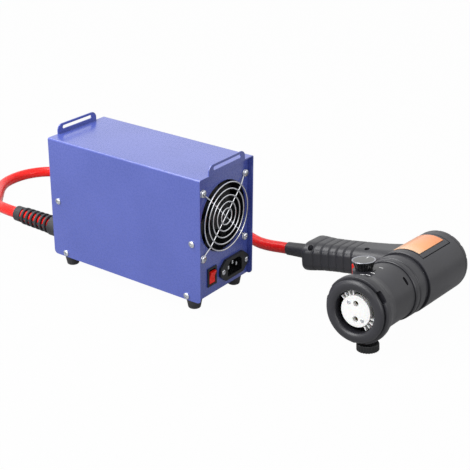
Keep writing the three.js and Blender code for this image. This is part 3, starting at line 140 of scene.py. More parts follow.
def cloudy(material, shader, colours, patch, roughness, grain, depth):
    """Slight drift of colour and gloss over patches, and a fine grain that catches the light.

    patch and grain are sizes in millimetres, depth is the grain's height in millimetres."""
    link = material.node_tree.links.new
    place = surface_place(material)
    drift = add_node(
        material, "ShaderNodeTexNoise", {"Vector": place, "Scale": per_mm(patch), "Detail": 3.0}
    )
    tint = add_node(material, "ShaderNodeValToRGB", {"Fac": drift.outputs["Fac"]})
    for stop, position, colour in zip(tint.color_ramp.elements, (0.35, 0.65), colours):
        stop.position = position
        stop.color = srgb(colour)
    link(tint.outputs["Color"], shader.inputs["Base Color"])
    fine = add_node(
        material, "ShaderNodeTexNoise", {"Vector": place, "Scale": per_mm(grain), "Detail": 4.0}
    )
    gloss = add_node(
        material,
        "ShaderNodeMapRange",
        {
            "Value": fine.outputs["Fac"], "From Min": 0.3, "From Max": 0.7,
            "To Min": roughness[0], "To Max": roughness[1],
        },
    )
    link(gloss.outputs["Result"], shader.inputs["Roughness"])
    relief = add_node(
        material,
        "ShaderNodeBump",
        {"Height": fine.outputs["Fac"], "Strength": 1.0, "Distance": depth * MM},
    )
    link(relief.outputs["Normal"], shader.inputs["Normal"])


def powder_coated_steel():
    """Powder coat on folded steel: even blue, with the faint orange peel of baked powder."""
    material, shader = new_finish("powder_coated_steel", IOR=1.5, Coat_Weight=0.8, Coat_Roughness=0.2)
    # orange peel is 1 to 2 mm across
    cloudy(material, shader, ("4A59AE", "515FB5"), 70, (0.26, 0.29), 1.6, 0.0015)
    return material


def zinc_plated_steel():
    """Zinc plate over steel: pale grey metal with a soft, slightly cloudy shine."""
    material, shader = new_finish("zinc_plated_steel", Metallic=1.0)
    cloudy(material, shader, ("CCCFD4", "DDDFE3"), 3, (0.16, 0.28), 0.5, 0.006)
    return material


def chromed_wire():
    """Chrome on drawn wire: mirror bright, faintly uneven."""
    material, shader = new_finish("chromed_wire", Metallic=1.0)
    cloudy(material, shader, ("D2D4D8", "DDDFE3"), 6, (0.10, 0.18), 0.6, 0.003)
    return material


def spark_eroded_shell():
    """Charcoal ABS from a spark eroded mould: satin, with a fine even grain."""
    material, shader = new_finish("spark_eroded_shell", IOR=1.53)
    # real grain is about 0.1 mm; it is drawn at 0.5 mm so that it shows
    cloudy(material, shader, ("26262B", "2C2C32"), 40, (0.32, 0.40), 0.5, 0.008)
    return material


def moulded_black():
    """Moulded black nylon: darker than the shell, softly glossy, slightly uneven."""
    material, shader = new_finish("moulded_black", IOR=1.45)
    cloudy(material, shader, ("0F1012", "161719"), 15, (0.36, 0.48), 0.7, 0.006)
    return material


def screw_steel_painted_shade():
    """Steel of the handle's screws: nearly black, as painted shade of the deep holes they sit in, with a dull
    oily shine on the edges.
    """
    material, shader = new_finish("screw_steel_painted_shade", Metallic=0.8)
    cloudy(material, shader, ("1A1A1C", "26262A"), 3, (0.35, 0.5), 0.4, 0.004)
    return material


def spun_aluminium():
    """Rim of the dial: spun aluminium, grey and satin, with a highlight that stretches round it."""
    material, shader = new_finish("spun_aluminium", Metallic=1.0, Anisotropic=0.4)
    cloudy(material, shader, ("9C9EA6", "B4B6BC"), 5, (0.26, 0.36), 0.4, 0.004)
    return material


def polished_black():
    """Polished black ABS of a control knob: deep black with a clean shine."""
    material, shader = new_finish("polished_black", IOR=1.53, Coat_Weight=0.4, Coat_Roughness=0.08)
    cloudy(material, shader, ("0C0C0E", "121214"), 10, (0.12, 0.18), 0.8, 0.002)
    return material


def moulded_rubber():
    """Black rubber: matt, with the dry speckle of a moulded surface."""
    material, shader = new_finish("moulded_rubber", IOR=1.5)
    cloudy(material, shader, ("262629", "313135"), 8, (0.46, 0.60), 0.4, 0.012)
    return material


def glossy_red():
    """Bright red acetal: saturated, smooth, a little light passes into it."""
    material, shader = new_finish("glossy_red", IOR=1.4, Subsurface_Weight=0.1, Subsurface_Scale=0.002)
    shader.inputs["Subsurface Radius"].default_value = (1.0, 0.2, 0.1)
    cloudy(material, shader, ("FF2014", "FF2C1E"), 8, (0.34, 0.42), 0.8, 0.003)
    return material


def red_sleeving():
    """Soft red silicone sleeving: wet looking gloss, light bleeds into the wall, slight waviness."""
    material, shader = new_finish(
        "red_sleeving", IOR=1.36, Subsurface_Weight=0.25, Subsurface_Scale=0.003,
        Coat_Weight=0.2, Coat_Roughness=0.15,
    )
    shader.inputs["Subsurface Radius"].default_value = (1.0, 0.25, 0.15)
    # the sleeve creases softly every 6 mm or so
    cloudy(material, shader, ("EE120E", "FA2019"), 25, (0.26, 0.38), 6.0, 0.2)
    return material


def glazed_ceramic():
    """Steatite: clean white, close and smooth, with hardly any tint."""
    material, shader = new_finish("glazed_ceramic", IOR=1.55, Subsurface_Weight=0.05, Subsurface_Scale=0.001)
    cloudy(material, shader, ("FBFBFA", "FFFFFE"), 6, (0.28, 0.40), 0.5, 0.003)
    return material


def turned_brass():
    """Turned brass: warm yellow metal."""
    material, shader = new_finish("turned_brass", Metallic=1.0)
    cloudy(material, shader, ("B8924A", "CBA65C"), 4, (0.22, 0.34), 0.4, 0.004)
    return material


def circuit_board():
    """Green solder mask over copper tracks: the tracks show as paler lines."""
    material, shader = new_finish("circuit_board", IOR=1.5)
    cloudy(material, shader, ("17512F", "1D5E39"), 12, (0.28, 0.36), 1.0, 0.01)
    place = surface_place(material)
    tracks = add_node(
        material,
        "ShaderNodeTexBrick",
        {
            "Vector": place, "Scale": per_mm(9), "Mortar Size": 0.06,
            "Color1": srgb("17512F"), "Color2": srgb("1A5934"), "Mortar": srgb("3A8055"),
        },
    )
    material.node_tree.links.new(tracks.outputs["Color"], shader.inputs["Base Color"])
    return material


def extruded_aluminium():
    """Plain extruded aluminium: pale, satin, faintly cloudy."""
    material, shader = new_finish("extruded_aluminium", Metallic=1.0)
    cloudy(material, shader, ("AEB2B6", "BABEC2"), 8, (0.32, 0.44), 0.5, 0.006)
    return material


def sintered_ferrite():
    """Sintered ferrite: dark grey, dull, slightly gritty."""
    material, shader = new_finish("sintered_ferrite", IOR=1.9)
    cloudy(material, shader, ("2A2928", "353331"), 5, (0.55, 0.68), 0.5, 0.01)
    return material


def enamelled_copper():
    """Enamelled copper wire: bright orange brown, its turns seen as rounded ridges."""
    material, shader = new_finish("enamelled_copper", Metallic=0.9)
    cloudy(material, shader, ("A4582C", "B8693A"), 3, (0.22, 0.34), 0.6, 0.004)
    place = surface_place(material)
    # real wire is finer; the ridges are 6 mm apart so that they show, as one radian of the wave is 1 mm
    # and the node runs through 20 radians in a unit of its scale
    ridges = add_node(
        material, "ShaderNodeTexWave", {"Vector": place, "Scale": per_mm(1.0) / 20, "Distortion": 0.2},
        bands_direction="Z",
    )
    relief = add_node(material, "ShaderNodeBump", {"Height": ridges.outputs["Fac"], "Distance": 0.3 * MM})
    material.node_tree.links.new(relief.outputs["Normal"], shader.inputs["Normal"])
    return material


def laminated_label():
    """Printed film under clear laminate: orange that fades to cream at one end."""
    material, shader = new_finish("laminated_label", IOR=1.5, Coat_Weight=0.6, Coat_Roughness=0.1)
    cloudy(material, shader, ("F08A3C", "F59A4D"), 20, (0.25, 0.33), 1.2, 0.004)
    place = surface_place(material)
    split = add_node(material, "ShaderNodeSeparateXYZ", {"Vector": place})
    # the fade runs along the barrel, from just before the label to just past it, in metres
    start, end = 0.026, 0.080
    fade = add_node(
        material, "ShaderNodeMapRange", {"Value": split.outputs["X"], "From Min": start, "From Max": end}
    )
    tint = add_node(material, "ShaderNodeValToRGB", {"Fac": fade.outputs["Result"]})
    stops = tint.color_ramp.elements
    stops[0].position, stops[0].color = 0.0, srgb("F4C9A0")
    stops[1].position, stops[1].color = 1.0, srgb("F08A45")
    middle = stops.new(0.35)
    middle.color = srgb("F7A765")
    material.node_tree.links.new(tint.outputs["Color"], shader.inputs["Base Color"])
    return material


def printed_white():
    """White pad print on plastic: thin, slightly rough ink."""
    material, shader = new_finish("printed_white", IOR=1.5)
    cloudy(material, shader, ("E8E8E8", "F4F4F4"), 2, (0.45, 0.55), 0.3, 0.004)
    return material


FINISHES = {
    "blue_paint": powder_coated_steel(),
    "zinc": zinc_plated_steel(),
    "black_steel": screw_steel_painted_shade(),
    "spun_aluminium": spun_aluminium(),
    "black_plastic": moulded_black(),
    "shell_plastic": spark_eroded_shell(),
    "rubber": moulded_rubber(),
    "red_plastic": glossy_red(),
    "red_sleeve": red_sleeving(),
    "chrome": chromed_wire(),
    "ceramic": glazed_ceramic(),
    "brass": turned_brass(),
    "green_board": circuit_board(),
    "aluminium": extruded_aluminium(),
    "ferrite": sintered_ferrite(),
    "copper": enamelled_copper(),
    "orange_label": laminated_label(),
    "knob_black": polished_black(),
    "white_print": printed_white(),
}


# Modelling steps; all lengths are in millimetres


def put_down():
    """Leaves edit mode with nothing selected."""
    if bpy.context.object and bpy.context.object.mode != "OBJECT":
        bpy.ops.object.mode_set(mode="OBJECT")
    bpy.ops.object.select_all(action="DESELECT")


def pick_up(piece):
    """Makes a piece the only one selected."""
    put_down()
    piece.select_set(True)
    bpy.context.view_layer.objects.active = piece
    return piece


def open_up(piece):
    """Goes into edit mode on a piece, with all of it selected."""
    pick_up(piece)
    bpy.ops.object.mode_set(mode="EDIT")
    bpy.ops.mesh.select_mode(type="VERT")
    bpy.ops.mesh.select_all(action="SELECT")


def close_up(piece):
    """Merges doubles, turns the faces outwards and leaves edit mode."""
    open_up(piece)
    bpy.ops.mesh.remove_doubles(threshold=0.01 * MM)
    bpy.ops.mesh.normals_make_consistent(inside=False)
    put_down()
    return piece


def choose(piece, kind, test):
    """In edit mode, selects only those verts or faces that pass a test."""
    bpy.ops.mesh.select_all(action="DESELECT")
    bpy.ops.mesh.select_mode(type={"verts": "VERT", "faces": "FACE"}[kind])
    mesh = bmesh.from_edit_mesh(piece.data)
    for item in getattr(mesh, kind):
        if test(item):
            item.select_set(True)
    mesh.select_flush_mode()
    bmesh.update_edit_mesh(piece.data)


def apply_modifier(piece, kind, **settings):
    pick_up(piece)
    modifier = piece.modifiers.new("work", kind)
    for key, value in settings.items():
        setattr(modifier, key, value)
    bpy.ops.object.modifier_apply(modifier=modifier.name)
    return piece


def set_down(piece, place):
    """Moves a piece to its place and keeps the place in its mesh."""
    pick_up(piece)
    piece.matrix_world = place @ piece.matrix_world
    bpy.ops.object.transform_apply(location=True, rotation=True, scale=True)
    return piece


def block(x0, x1, y0, y1, z0, z1):
    """A box between two corners, in millimetres."""
    put_down()
    bpy.ops.mesh.primitive_cube_add(
        size=1,
        location=((x0 + x1) / 2 * MM, (y0 + y1) / 2 * MM, (z0 + z1) / 2 * MM),
        scale=((x1 - x0) * MM, (y1 - y0) * MM, (z1 - z0) * MM),
    )
    piece = bpy.context.object
    bpy.ops.object.transform_apply(location=True, rotation=True, scale=True)
    return piece


def rod(radius, z0, z1, sides=64):
    """An upright cylinder, in millimetres."""
    put_down()
    bpy.ops.mesh.primitive_cylinder_add(
        vertices=sides, radius=radius * MM, depth=(z1 - z0) * MM, location=(0, 0, (z0 + z1) / 2 * MM)
    )
    piece = bpy.context.object
    bpy.ops.object.transform_apply(location=True, rotation=True, scale=True)
    return piece


def turned(profile, steps=96, sweep=360.0, start=0.0):
    """Spins a profile of (height, radius) about Z, as on a lathe. A sweep under 360 leaves a segment."""
    put_down()
    bpy.ops.mesh.primitive_plane_add(size=MM)
    piece = bpy.context.object
    open_up(piece)
    bpy.ops.mesh.merge(type="CENTER")
    height, radius = profile[0]
    bpy.ops.transform.translate(value=(radius * MM, 0, height * MM))
    for (h0, r0), (h1, r1) in zip(profile, profile[1:]):
        step = ((r1 - r0) * MM, 0, (h1 - h0) * MM)
        bpy.ops.mesh.extrude_region_move(TRANSFORM_OT_translate={"value": step})
    on_axis = profile[0][1] == 0 and profile[-1][1] == 0
    if not on_axis:
        mesh = bmesh.from_edit_mesh(piece.data)
        mesh.verts.ensure_lookup_table()
        for vert in mesh.verts:
            vert.select_set(vert.index in (0, len(profile) - 1))
        mesh.select_flush_mode()
        bmesh.update_edit_mesh(piece.data)
        bpy.ops.mesh.edge_face_add()
    bpy.ops.mesh.select_all(action="SELECT")
    if start:
        bpy.ops.object.mode_set(mode="OBJECT")
        piece.matrix_world = turn(start, "Z")
        bpy.ops.object.transform_apply(location=True, rotation=True, scale=True)
        bpy.ops.object.mode_set(mode="EDIT")
        bpy.ops.mesh.select_all(action="SELECT")
    bpy.ops.mesh.spin(steps=steps, angle=math.radians(sweep), center=(0, 0, 0), axis=(0, 0, -1))
    bpy.ops.mesh.select_all(action="SELECT")
    bpy.ops.mesh.remove_doubles(threshold=0.002 * MM)
    if sweep < 360:
        bpy.ops.mesh.fill_holes(sides=0)
        bpy.ops.mesh.select_all(action="SELECT")
    bpy.ops.mesh.normals_make_consistent(inside=False)
    put_down()
    return piece


def drop(piece):
    """Takes away a piece that is used up."""
    bpy.data.objects.remove(piece, do_unlink=True)


def combine(piece, tool, how="DIFFERENCE"):
    """Cuts, joins or keeps the common part of two pieces; the tool is used up."""
    apply_modifier(piece, "BOOLEAN", operation=how, solver="EXACT", object=tool)
    drop(tool)
    return piece


def weld(pieces):
    """Several separate solids as one piece."""
    put_down()
    for item in pieces:
        item.select_set(True)
    bpy.context.view_layer.objects.active = pieces[0]
    bpy.ops.object.join()
    return pieces[0]


def copy_of(piece):
    twin = piece.copy()
    twin.data = piece.data.copy()
    bpy.context.scene.collection.objects.link(twin)
    return twin


def soften(piece, width, angle=30, rounds=3):
    """Rounds the sharp edges by a width in millimetres."""
    return apply_modifier(
        piece, "BEVEL", width=width * MM, segments=rounds, limit_method="ANGLE",
        angle_limit=math.radians(angle), harden_normals=False, miter_outer="MITER_ARC",
    )


def smooth(piece, angle=32):
    """Smooth shading with crisp corners; flat faces stay flat beside their rounded edges."""
    pick_up(piece)
    bpy.ops.object.shade_smooth_by_angle(angle=math.radians(angle))
    return apply_modifier(piece, "WEIGHTED_NORMAL", keep_sharp=True, weight=100)


def from_cad(node):
    """A merged copy of a CAD solid, to be worked on."""
    source = frame["nodes"][node]
    piece = bpy.data.objects.new(node + "_copy", source.data.copy())
    bpy.context.scene.collection.objects.link(piece)
    piece.data.materials.clear()
    open_up(piece)
    bpy.ops.mesh.remove_doubles(threshold=0.005 * MM)
    bpy.ops.mesh.dissolve_limited(angle_limit=math.radians(0.6))
    put_down()
    return piece


def hand_over(piece, name, finish, nodes=(), body="heater"):
    """Names a finished piece, gives it its finish and its body, and hides the solids it stands for."""
    piece.name = name
    piece.data.name = name
    piece.data.materials.clear()
    piece.data.materials.append(FINISHES[finish])
    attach(piece, body)
    if nodes:
        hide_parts(*nodes)
    return piece


# The red cable

# The route's points are the solid's own, in millimetres from the case's corner
CABLE_POINTS = [
    (20.0, 282.8, 20.5), (20.3, 292.8, 20.3), (22.2, 304.6, 19.3), (26.6, 317.7, 17.0), (34.1, 331.4, 13.7),
    (46.0, 346.5, 9.3), (59.4, 360.5, 5.0), (73.1, 374.2, 1.2), (87.1, 387.9, -1.8), (101.9, 400.9, -3.9),
    (118.8, 411.0, -5.0), (138.1, 414.7, -5.4), (157.7, 411.9, -5.4), (174.9, 402.4, -5.4),
    (187.7, 387.4, -5.4), (194.0, 371.2, -5.4), (195.9, 353.8, -5.4), (196.0, 316.9, -5.4),
    (196.0, 280.0, -5.4), (196.0, 243.1, -5.4), (196.0, 206.3, -5.4), (196.0, 169.4, -5.4),
    (195.6, 132.5, -5.4), (187.3, 96.7, -5.4), (173.4, 62.6, -5.4), (168.0, 45.4, -5.2),
    (165.6, 29.7, -3.6), (165.0, 15.8, -1.6), (164.9, 3.9, 0.1),
]
CABLE_RADIUS = 6.45


def between(points, pieces):
    """A smooth line through the points, centripetal, with that many pieces between two of them."""
    ends = [points[0] * 2 - points[1], *points, points[-1] * 2 - points[-2]]
    line = []
    for p0, p1, p2, p3 in zip(ends, ends[1:], ends[2:], ends[3:]):
        t1 = (p1 - p0).length ** 0.5
        t2 = t1 + (p2 - p1).length ** 0.5
        t3 = t2 + (p3 - p2).length ** 0.5
        for i in range(pieces):
            t = t1 + (t2 - t1) * i / pieces
            a1 = p0 * ((t1 - t) / t1) + p1 * (t / t1)
            a2 = p1 * ((t2 - t) / (t2 - t1)) + p2 * ((t - t1) / (t2 - t1))
            a3 = p2 * ((t3 - t) / (t3 - t2)) + p3 * ((t - t2) / (t3 - t2))
            b1 = a1 * ((t2 - t) / t2) + a2 * (t / t2)
            b2 = a2 * ((t3 - t) / (t3 - t1)) + a3 * ((t - t1) / (t3 - t1))
            line.append(b1 * ((t2 - t) / (t2 - t1)) + b2 * ((t - t1) / (t2 - t1)))
    line.append(points[-1].copy())
    return line


def lay_cable():
    route = between([IN_CASE @ (Vector(p) * MM) for p in CABLE_POINTS], 8)
    data = bpy.data.curves.new("red_cable_line", "CURVE")
    data.dimensions = "3D"
    data.bevel_depth = CABLE_RADIUS * MM
    data.bevel_resolution = 8
    data.use_fill_caps = True
    line = data.splines.new("POLY")
    line.points.add(len(route) - 1)
    for point, where in zip(line.points, route):
        point.co = (*where, 1.0)
    line.use_smooth = True
    cable = bpy.data.objects.new("red_cable_line", data)
    bpy.context.scene.collection.objects.link(cable)
    hand_over(cable, "red_cable_line", "red_sleeve", ["red_cable"])


lay_cable()


# The case

# Sizes of the case in millimetres, as the solids have them
FRONT_FACE = 6.0
REAR_FACE = 199.0
CASE_WIDTH = 90
SIDE_SCREWS = [(10.5, 64.5), (17.8, 4.5), (194.5, 64.5), (187.2, 4.5)]
FAN_CENTRE = (46.8, 81.0)
FAN_SCREW_REACH = 71.5 / 2
FAN_DEPTH = 7.2
BLADES = 7
GUARD_WIRE = 0.8
GUARD_RINGS = [36.3 - 6.9 * i for i in range(5)]
GUARD_LIFT = 2.0
RING_LIFT = 1.1
SPOKE_BEND = 37.1
EYELET = 3.4
INLET_FACE = 3
INLET_HEIGHT = 18.5
INLET_SCREWS = (43, 83)
FEET_ACROSS = (("left", 11), ("right", 79))
FEET_ALONG = (("front", 16.5), ("back", 188.5))
GLAND_CENTRE = (20.0, 20.5)
GLAND_LENGTH = 13


def fold_cover():
    cover = soften(from_cad("cover"), 0.22, angle=40, rounds=2)
    hand_over(smooth(cover), "cover_sheet", "blue_paint", ["cover"])
    chassis = soften(from_cad("chassis"), 0.2, angle=40, rounds=2)
    hand_over(smooth(chassis), "chassis_sheet", "blue_paint", ["chassis"])


def pan_head_screw(head, height, shank, length):
    """A pan head screw standing head up, its seat at zero, with a cross recess; head and shank are radii."""
    crown = [(height * (1 - 0.5 * (i / 6) ** 2.6), head * i / 6) for i in range(1, 7)]
    screw = turned([(height, 0), *crown, (0, head), (0, shank), (-length, shank), (-length, 0)], 40)
    reach, half = head * 0.62, head * 0.13
    for angle in (0, 90):
        arm = block(-reach, reach, -half, half, height * 0.35, height * 2)
        combine(screw, set_down(arm, turn(angle, "Z")))
    return smooth(soften(screw, head * 0.03, rounds=2), 40)


def place_screws():
    side = pan_head_screw(3.45, 2.15, 1.45, 2.8)
    # each screw has come to rest at another angle
    for i, (y, z) in enumerate(SIDE_SCREWS, 1):
        for name, lay, x in (("left", TO_MINUS_X, 0), ("right", TO_X, CASE_WIDTH)):
            screw = set_down(copy_of(side), IN_CASE @ at(x, y, z) @ lay @ turn(20 + 37 * i, "Z"))
            hand_over(screw, f"{name}_screw_{i}", "zinc", [f"cover_screw_{name}_{i}"])
    drop(side)

    guard_screw = pan_head_screw(3.9, 2.3, 1.95, 17.5)
    sides = (-FAN_SCREW_REACH, FAN_SCREW_REACH)
    corners = [(FAN_CENTRE[0] + x, FAN_CENTRE[1] + z) for x in sides for z in sides]
    for i, (x, z) in enumerate(corners, 1):
        place = IN_CASE @ at(x, FRONT_FACE - 2 * GUARD_WIRE, z) @ turn(90, "X") @ turn(25 * i, "Z")
        hand_over(set_down(copy_of(guard_screw), place), f"fan_screw_{i}", "zinc", [f"guard_screw_{i}"])
    drop(guard_screw)

    inlet_screw = pan_head_screw(2.8, 1.5, 1.45, 9.8)
    for i, x in enumerate(INLET_SCREWS, 1):
        place = IN_CASE @ at(x, INLET_FACE, INLET_HEIGHT) @ turn(90, "X") @ turn(40 * i, "Z")
        hand_over(set_down(copy_of(inlet_screw), place), f"socket_screw_{i}", "zinc", [f"inlet_screw_{i}"])
    drop(inlet_screw)


def stand_on_feet():
    foot = turned(
        [
            (-6, 0), (-6, 4.0), (-6.4, 4.2), (-11.6, 4.2), (-12, 4.6), (-12, 6.2), (-11.5, 6.6), (-2.0, 8.4),
            (-1.5, 8.5), (-0.4, 8.5), (0, 8.2), (0, 2.4), (1.5, 2.4), (1.5, 3.2), (3, 2.4), (3, 0),
        ],
        64,
    )
    smooth(soften(foot, 0.25, rounds=2), 40)
    for side, x in FEET_ACROSS:
        for end, y in FEET_ALONG:
            twin = set_down(copy_of(foot), IN_CASE @ at(x, y, 0))
            hand_over(twin, f"rubber_foot_{end}_{side}", "rubber", [f"foot_{end}_{side}"])
    drop(foot)


def build_fan():
    housing = smooth(soften(from_cad("fan_frame"), 0.3, rounds=2))
    hand_over(housing, "fan_housing", "black_plastic", ["fan_frame"])

    hub = turned(
        [(2.2, 0), (2.2, 14.6), (2.6, 15.4), (3.4, 16), (20.2, 16), (20.2, 1.5), (23, 1.5), (23, 0)], 72
    )
    pieces = [hub]
    blade = block(13.5, 36.3, -10, 10, -0.8, 0.8)
    open_up(blade)
    bpy.ops.mesh.subdivide(number_cuts=7)
    put_down()
    # the blade is steeper at its root than at its tip
    apply_modifier(blade, "SIMPLE_DEFORM", deform_method="TWIST", angle=math.radians(22), deform_axis="X")
    set_down(blade, turn(-32, "X"))
    soften(blade, 0.3, rounds=2)
    for i in range(BLADES):
        pieces.append(set_down(copy_of(blade), at(0, 0, 11) @ turn(i * 360 / BLADES, "Z")))
    drop(blade)
    rotor = weld(pieces)
    set_down(rotor, IN_CASE @ at(FAN_CENTRE[0], FAN_DEPTH, FAN_CENTRE[1]) @ TO_Y)
    hand_over(smooth(rotor, 35), "fan_blades", "black_plastic", ["fan_rotor"], "case_fan")


def wire_ring(radius, sides, x, y, lift):
    """A closed ring of the guard's wire."""
    put_down()
    bpy.ops.mesh.primitive_torus_add(
        major_radius=radius * MM, minor_radius=GUARD_WIRE * MM, major_segments=sides, minor_segments=12
    )
    return set_down(bpy.context.object, at(x, y, lift))


def build_guard():
    """Rings on two level spokes, whose ends slant back to an eyelet under each screw."""
    pieces = [wire_ring(radius, 96, 0, 0, GUARD_LIFT + RING_LIFT) for radius in GUARD_RINGS]
    reach = FAN_SCREW_REACH * math.sqrt(2) - EYELET
    for k in range(2):
        spoke = rod(GUARD_WIRE, -SPOKE_BEND, SPOKE_BEND, 12)
        open_up(spoke)
        for side in (-1, 1):
            choose(spoke, "faces", lambda f: f.normal.z * side > 0.9)
            slant = (GUARD_LIFT * MM, 0, side * (reach - SPOKE_BEND) * MM)
            bpy.ops.mesh.extrude_region_move(TRANSFORM_OT_translate={"value": slant})
        put_down()
        soften(spoke, 0.4, angle=8, rounds=2)
        pieces.append(set_down(spoke, turn(45 + 90 * k, "Z") @ at(0, 0, GUARD_LIFT) @ STAND))
    for x in (-FAN_SCREW_REACH, FAN_SCREW_REACH):
        for y in (-FAN_SCREW_REACH, FAN_SCREW_REACH):
            pieces.append(wire_ring(EYELET, 32, x, y, 0))
    guard = weld(pieces)
    set_down(guard, IN_CASE @ at(FAN_CENTRE[0], FRONT_FACE - GUARD_WIRE, FAN_CENTRE[1]) @ turn(90, "X"))
    hand_over(smooth(guard, 50), "wire_guard", "chrome", ["fan_guard"])


def fit_switch_and_inlet():
    bezel = smooth(soften(from_cad("switch_body"), 0.4))
    hand_over(bezel, "switch_bezel", "black_plastic", ["switch_body"])
    rocker = smooth(soften(from_cad("rocker"), 0.5))
    hand_over(rocker, "rocker_cap", "red_plastic", ["rocker"], "power_rocker")
    housing = smooth(soften(from_cad("inlet_body"), 0.5))
    hand_over(housing, "inlet_housing", "black_plastic", ["inlet_body"])
    for i in (1, 2, 3):
        pin = smooth(soften(from_cad(f"inlet_pin_{i}"), 0.4))
        hand_over(pin, f"inlet_blade_{i}", "zinc", [f"inlet_pin_{i}"])


def fit_gland():
    collar = turned([(-12, 0), (-12, 8), (0, 8), (0, 11.4), (0.6, 12), (12.2, 12), (13, 11.2), (13, 0)], 72)
    smooth(soften(collar, 0.2, rounds=2), 40)
    place = IN_CASE @ at(GLAND_CENTRE[0], REAR_FACE, GLAND_CENTRE[1]) @ TO_Y
    hand_over(set_down(collar, place), "gland_collar", "black_plastic", ["cable_gland"])

    # root, ribs and tail on four rails, with the sleeve in view between the ribs
    root, ribs, pitch, width, length, tail = 14.0, 6, 7.2, 3.3, 70.5, 10.0
    inside, sides = 6.7, 64
    end = length - tail
    base = [(0, inside), (0, 11.0), (0.5, 11.4), (root - 0.6, 11.4), (root, 10.8), (root, inside)]
    pieces = [turned(base, sides)]
    for i in range(ribs):
        back = root + (i + 1) * pitch
        front = back - width
        r = 10.5 - 0.12 * i
        rib = [(front, inside), (front, r - 0.6), (front + 0.6, r)]
        rib += [(back - 0.6, r), (back, r - 0.6), (back, inside)]
        pieces.append(turned(rib, sides))
    tip = [(end, inside), (end, 8.4), (end + 0.4, 8.8)]
    tip += [(length - 0.6, 8.8), (length, 8.2), (length, inside)]
    pieces.append(turned(tip, sides))
    for k in range(4):
        rail = block(7.2, 8.6, -1.2, 1.2, root - 1, end + 1)
        pieces.append(set_down(rail, turn(90 * k, "Z")))
    relief = weld(pieces)
    sleeve = turned(
        [(0, 0), (0, 7.5), (end, 7.5), (end + 1, CABLE_RADIUS), (length, CABLE_RADIUS), (length, 0)], sides
    )
    place = IN_CASE @ at(GLAND_CENTRE[0], REAR_FACE + GLAND_LENGTH, GLAND_CENTRE[1]) @ TO_Y
    hand_over(smooth(set_down(relief, place), 40), "ribbed_relief", "rubber", ["strain_relief"])
    hand_over(smooth(set_down(sleeve, place), 40), "sleeve_in_relief", "red_sleeve")


fold_cover()
place_screws()
stand_on_feet()
build_fan()
build_guard()
fit_switch_and_inlet()
fit_gland()


# The gun; u runs along the barrel from the ceramic face, v along the handle from the barrel's middle

FINE = 144
FRONT_RADIUS = 29.9
FRONT_BORE = 27.5
REAR_RADIUS = 32.7
REAR_BORE = 30.2
VENT_AT, VENT_TURN = 54, 145
HANDLE_CENTRE = 147.1
HANDLE_END = 135.6
HANDLE_SCREWS = ((129.49, 64.2), (114.47, 126.5))
SOCKET_TURN, SOCKET_REACH = math.radians(94.7), 8
FACE_SCREW_TURN, FACE_SCREW_REACH = math.radians(49.7), 10.9
DIAL = (34.4, 9.9)
DIAL_SEAT = 30.7
# Place, radius and turn from the top of the white dashes round the dial
DIAL_DASHES = ((16.5, 31.75, 1.5), (19.3, 31.2, -6.6), (29.6, 29.95, -4.5), (46.2, 29.95, -3.8))
CLAMP_TURN = math.radians(-88)
CLAMP_AT, CLAMP_OUT, CLAMP_ASIDE = 12.5, 35.2, -5.9


def along_barrel(piece, name, finish, nodes=()):
    """Lays a piece that was turned on Z along the barrel, and hands it over."""
    hand_over(set_down(piece, IN_GUN @ TO_X), name, finish, nodes)


def strip(profile, steps, sweep, lean=0):
    """A strip of a turned wall along the top of the barrel; lean is how far its middle is off the top."""
    return turned(profile, steps, sweep, 90 - sweep / 2 - lean)


def mouth_and_nose():
    ring = turned(
        [
            (6, 21.5), (1, 21.5), (-1.4, 21.6), (-2.5, 22.0), (-3.3, 22.8), (-3.9, 24.2), (-4.1, 26.0),
            (-4.0, 28.0), (-3.6, 29.6), (-2.9, 30.7), (-1.9, 31.4), (-0.9, 31.6), (0.2, 31.6), (0.2, 30.2),
            (1.8, 30.2), (1.8, 33.3), (2.2, 34.0), (2.9, 34.4), (3.8, 34.5), (8, 34.5), (10, 34.2),
            (12, 33.4), (16, 31.8), (19, 31.2), (23, 30.9), (23, 30.2), (6, 30.2),
        ],
        FINE,
    )
    # three shallow rounded slots in its edge
    for k in range(3):
        slot = soften(block(27.5, 40, -6.4, 6.4, -0.6, 4.8), 1.6, rounds=4)
        combine(ring, set_down(slot, turn(27 + 120 * k, "Z")))
    smooth(soften(ring, 0.2, angle=50, rounds=2), 30)
    along_barrel(ring, "nose_cap", "shell_plastic", ["nose_ring"])


def front_tube():
    tube = turned([(6.3, FRONT_BORE), (6.3, FRONT_RADIUS), (62, FRONT_RADIUS), (62, FRONT_BORE)], FINE)
    boss = set_down(rod(11.4, 15, 30.4, 64), TO_X.inverted() @ at(*DIAL, 0))
    combine(boss, rod(FRONT_BORE, -10, 80, FINE))
    combine(tube, boss, "UNION")
    # the vents are slots with round ends: a rod whose two halves are moved apart
    vent = rod(1.8, 20, 40, 32)
    open_up(vent)
    for side in (-1, 1):
        choose(vent, "verts", lambda v: v.co.x * side > 0.01 * MM)
        bpy.ops.transform.translate(value=(side * 2.7 * MM, 0, 0))
    put_down()
    for k in range(4):
        place = turn(VENT_TURN + 90 * k, "Z") @ at(0, 0, VENT_AT) @ TO_X
        combine(tube, set_down(copy_of(vent), place))
    drop(vent)
    smooth(soften(tube, 0.2, angle=50, rounds=2), 30)
    along_barrel(tube, "front_tube", "shell_plastic", ["front_barrel"])


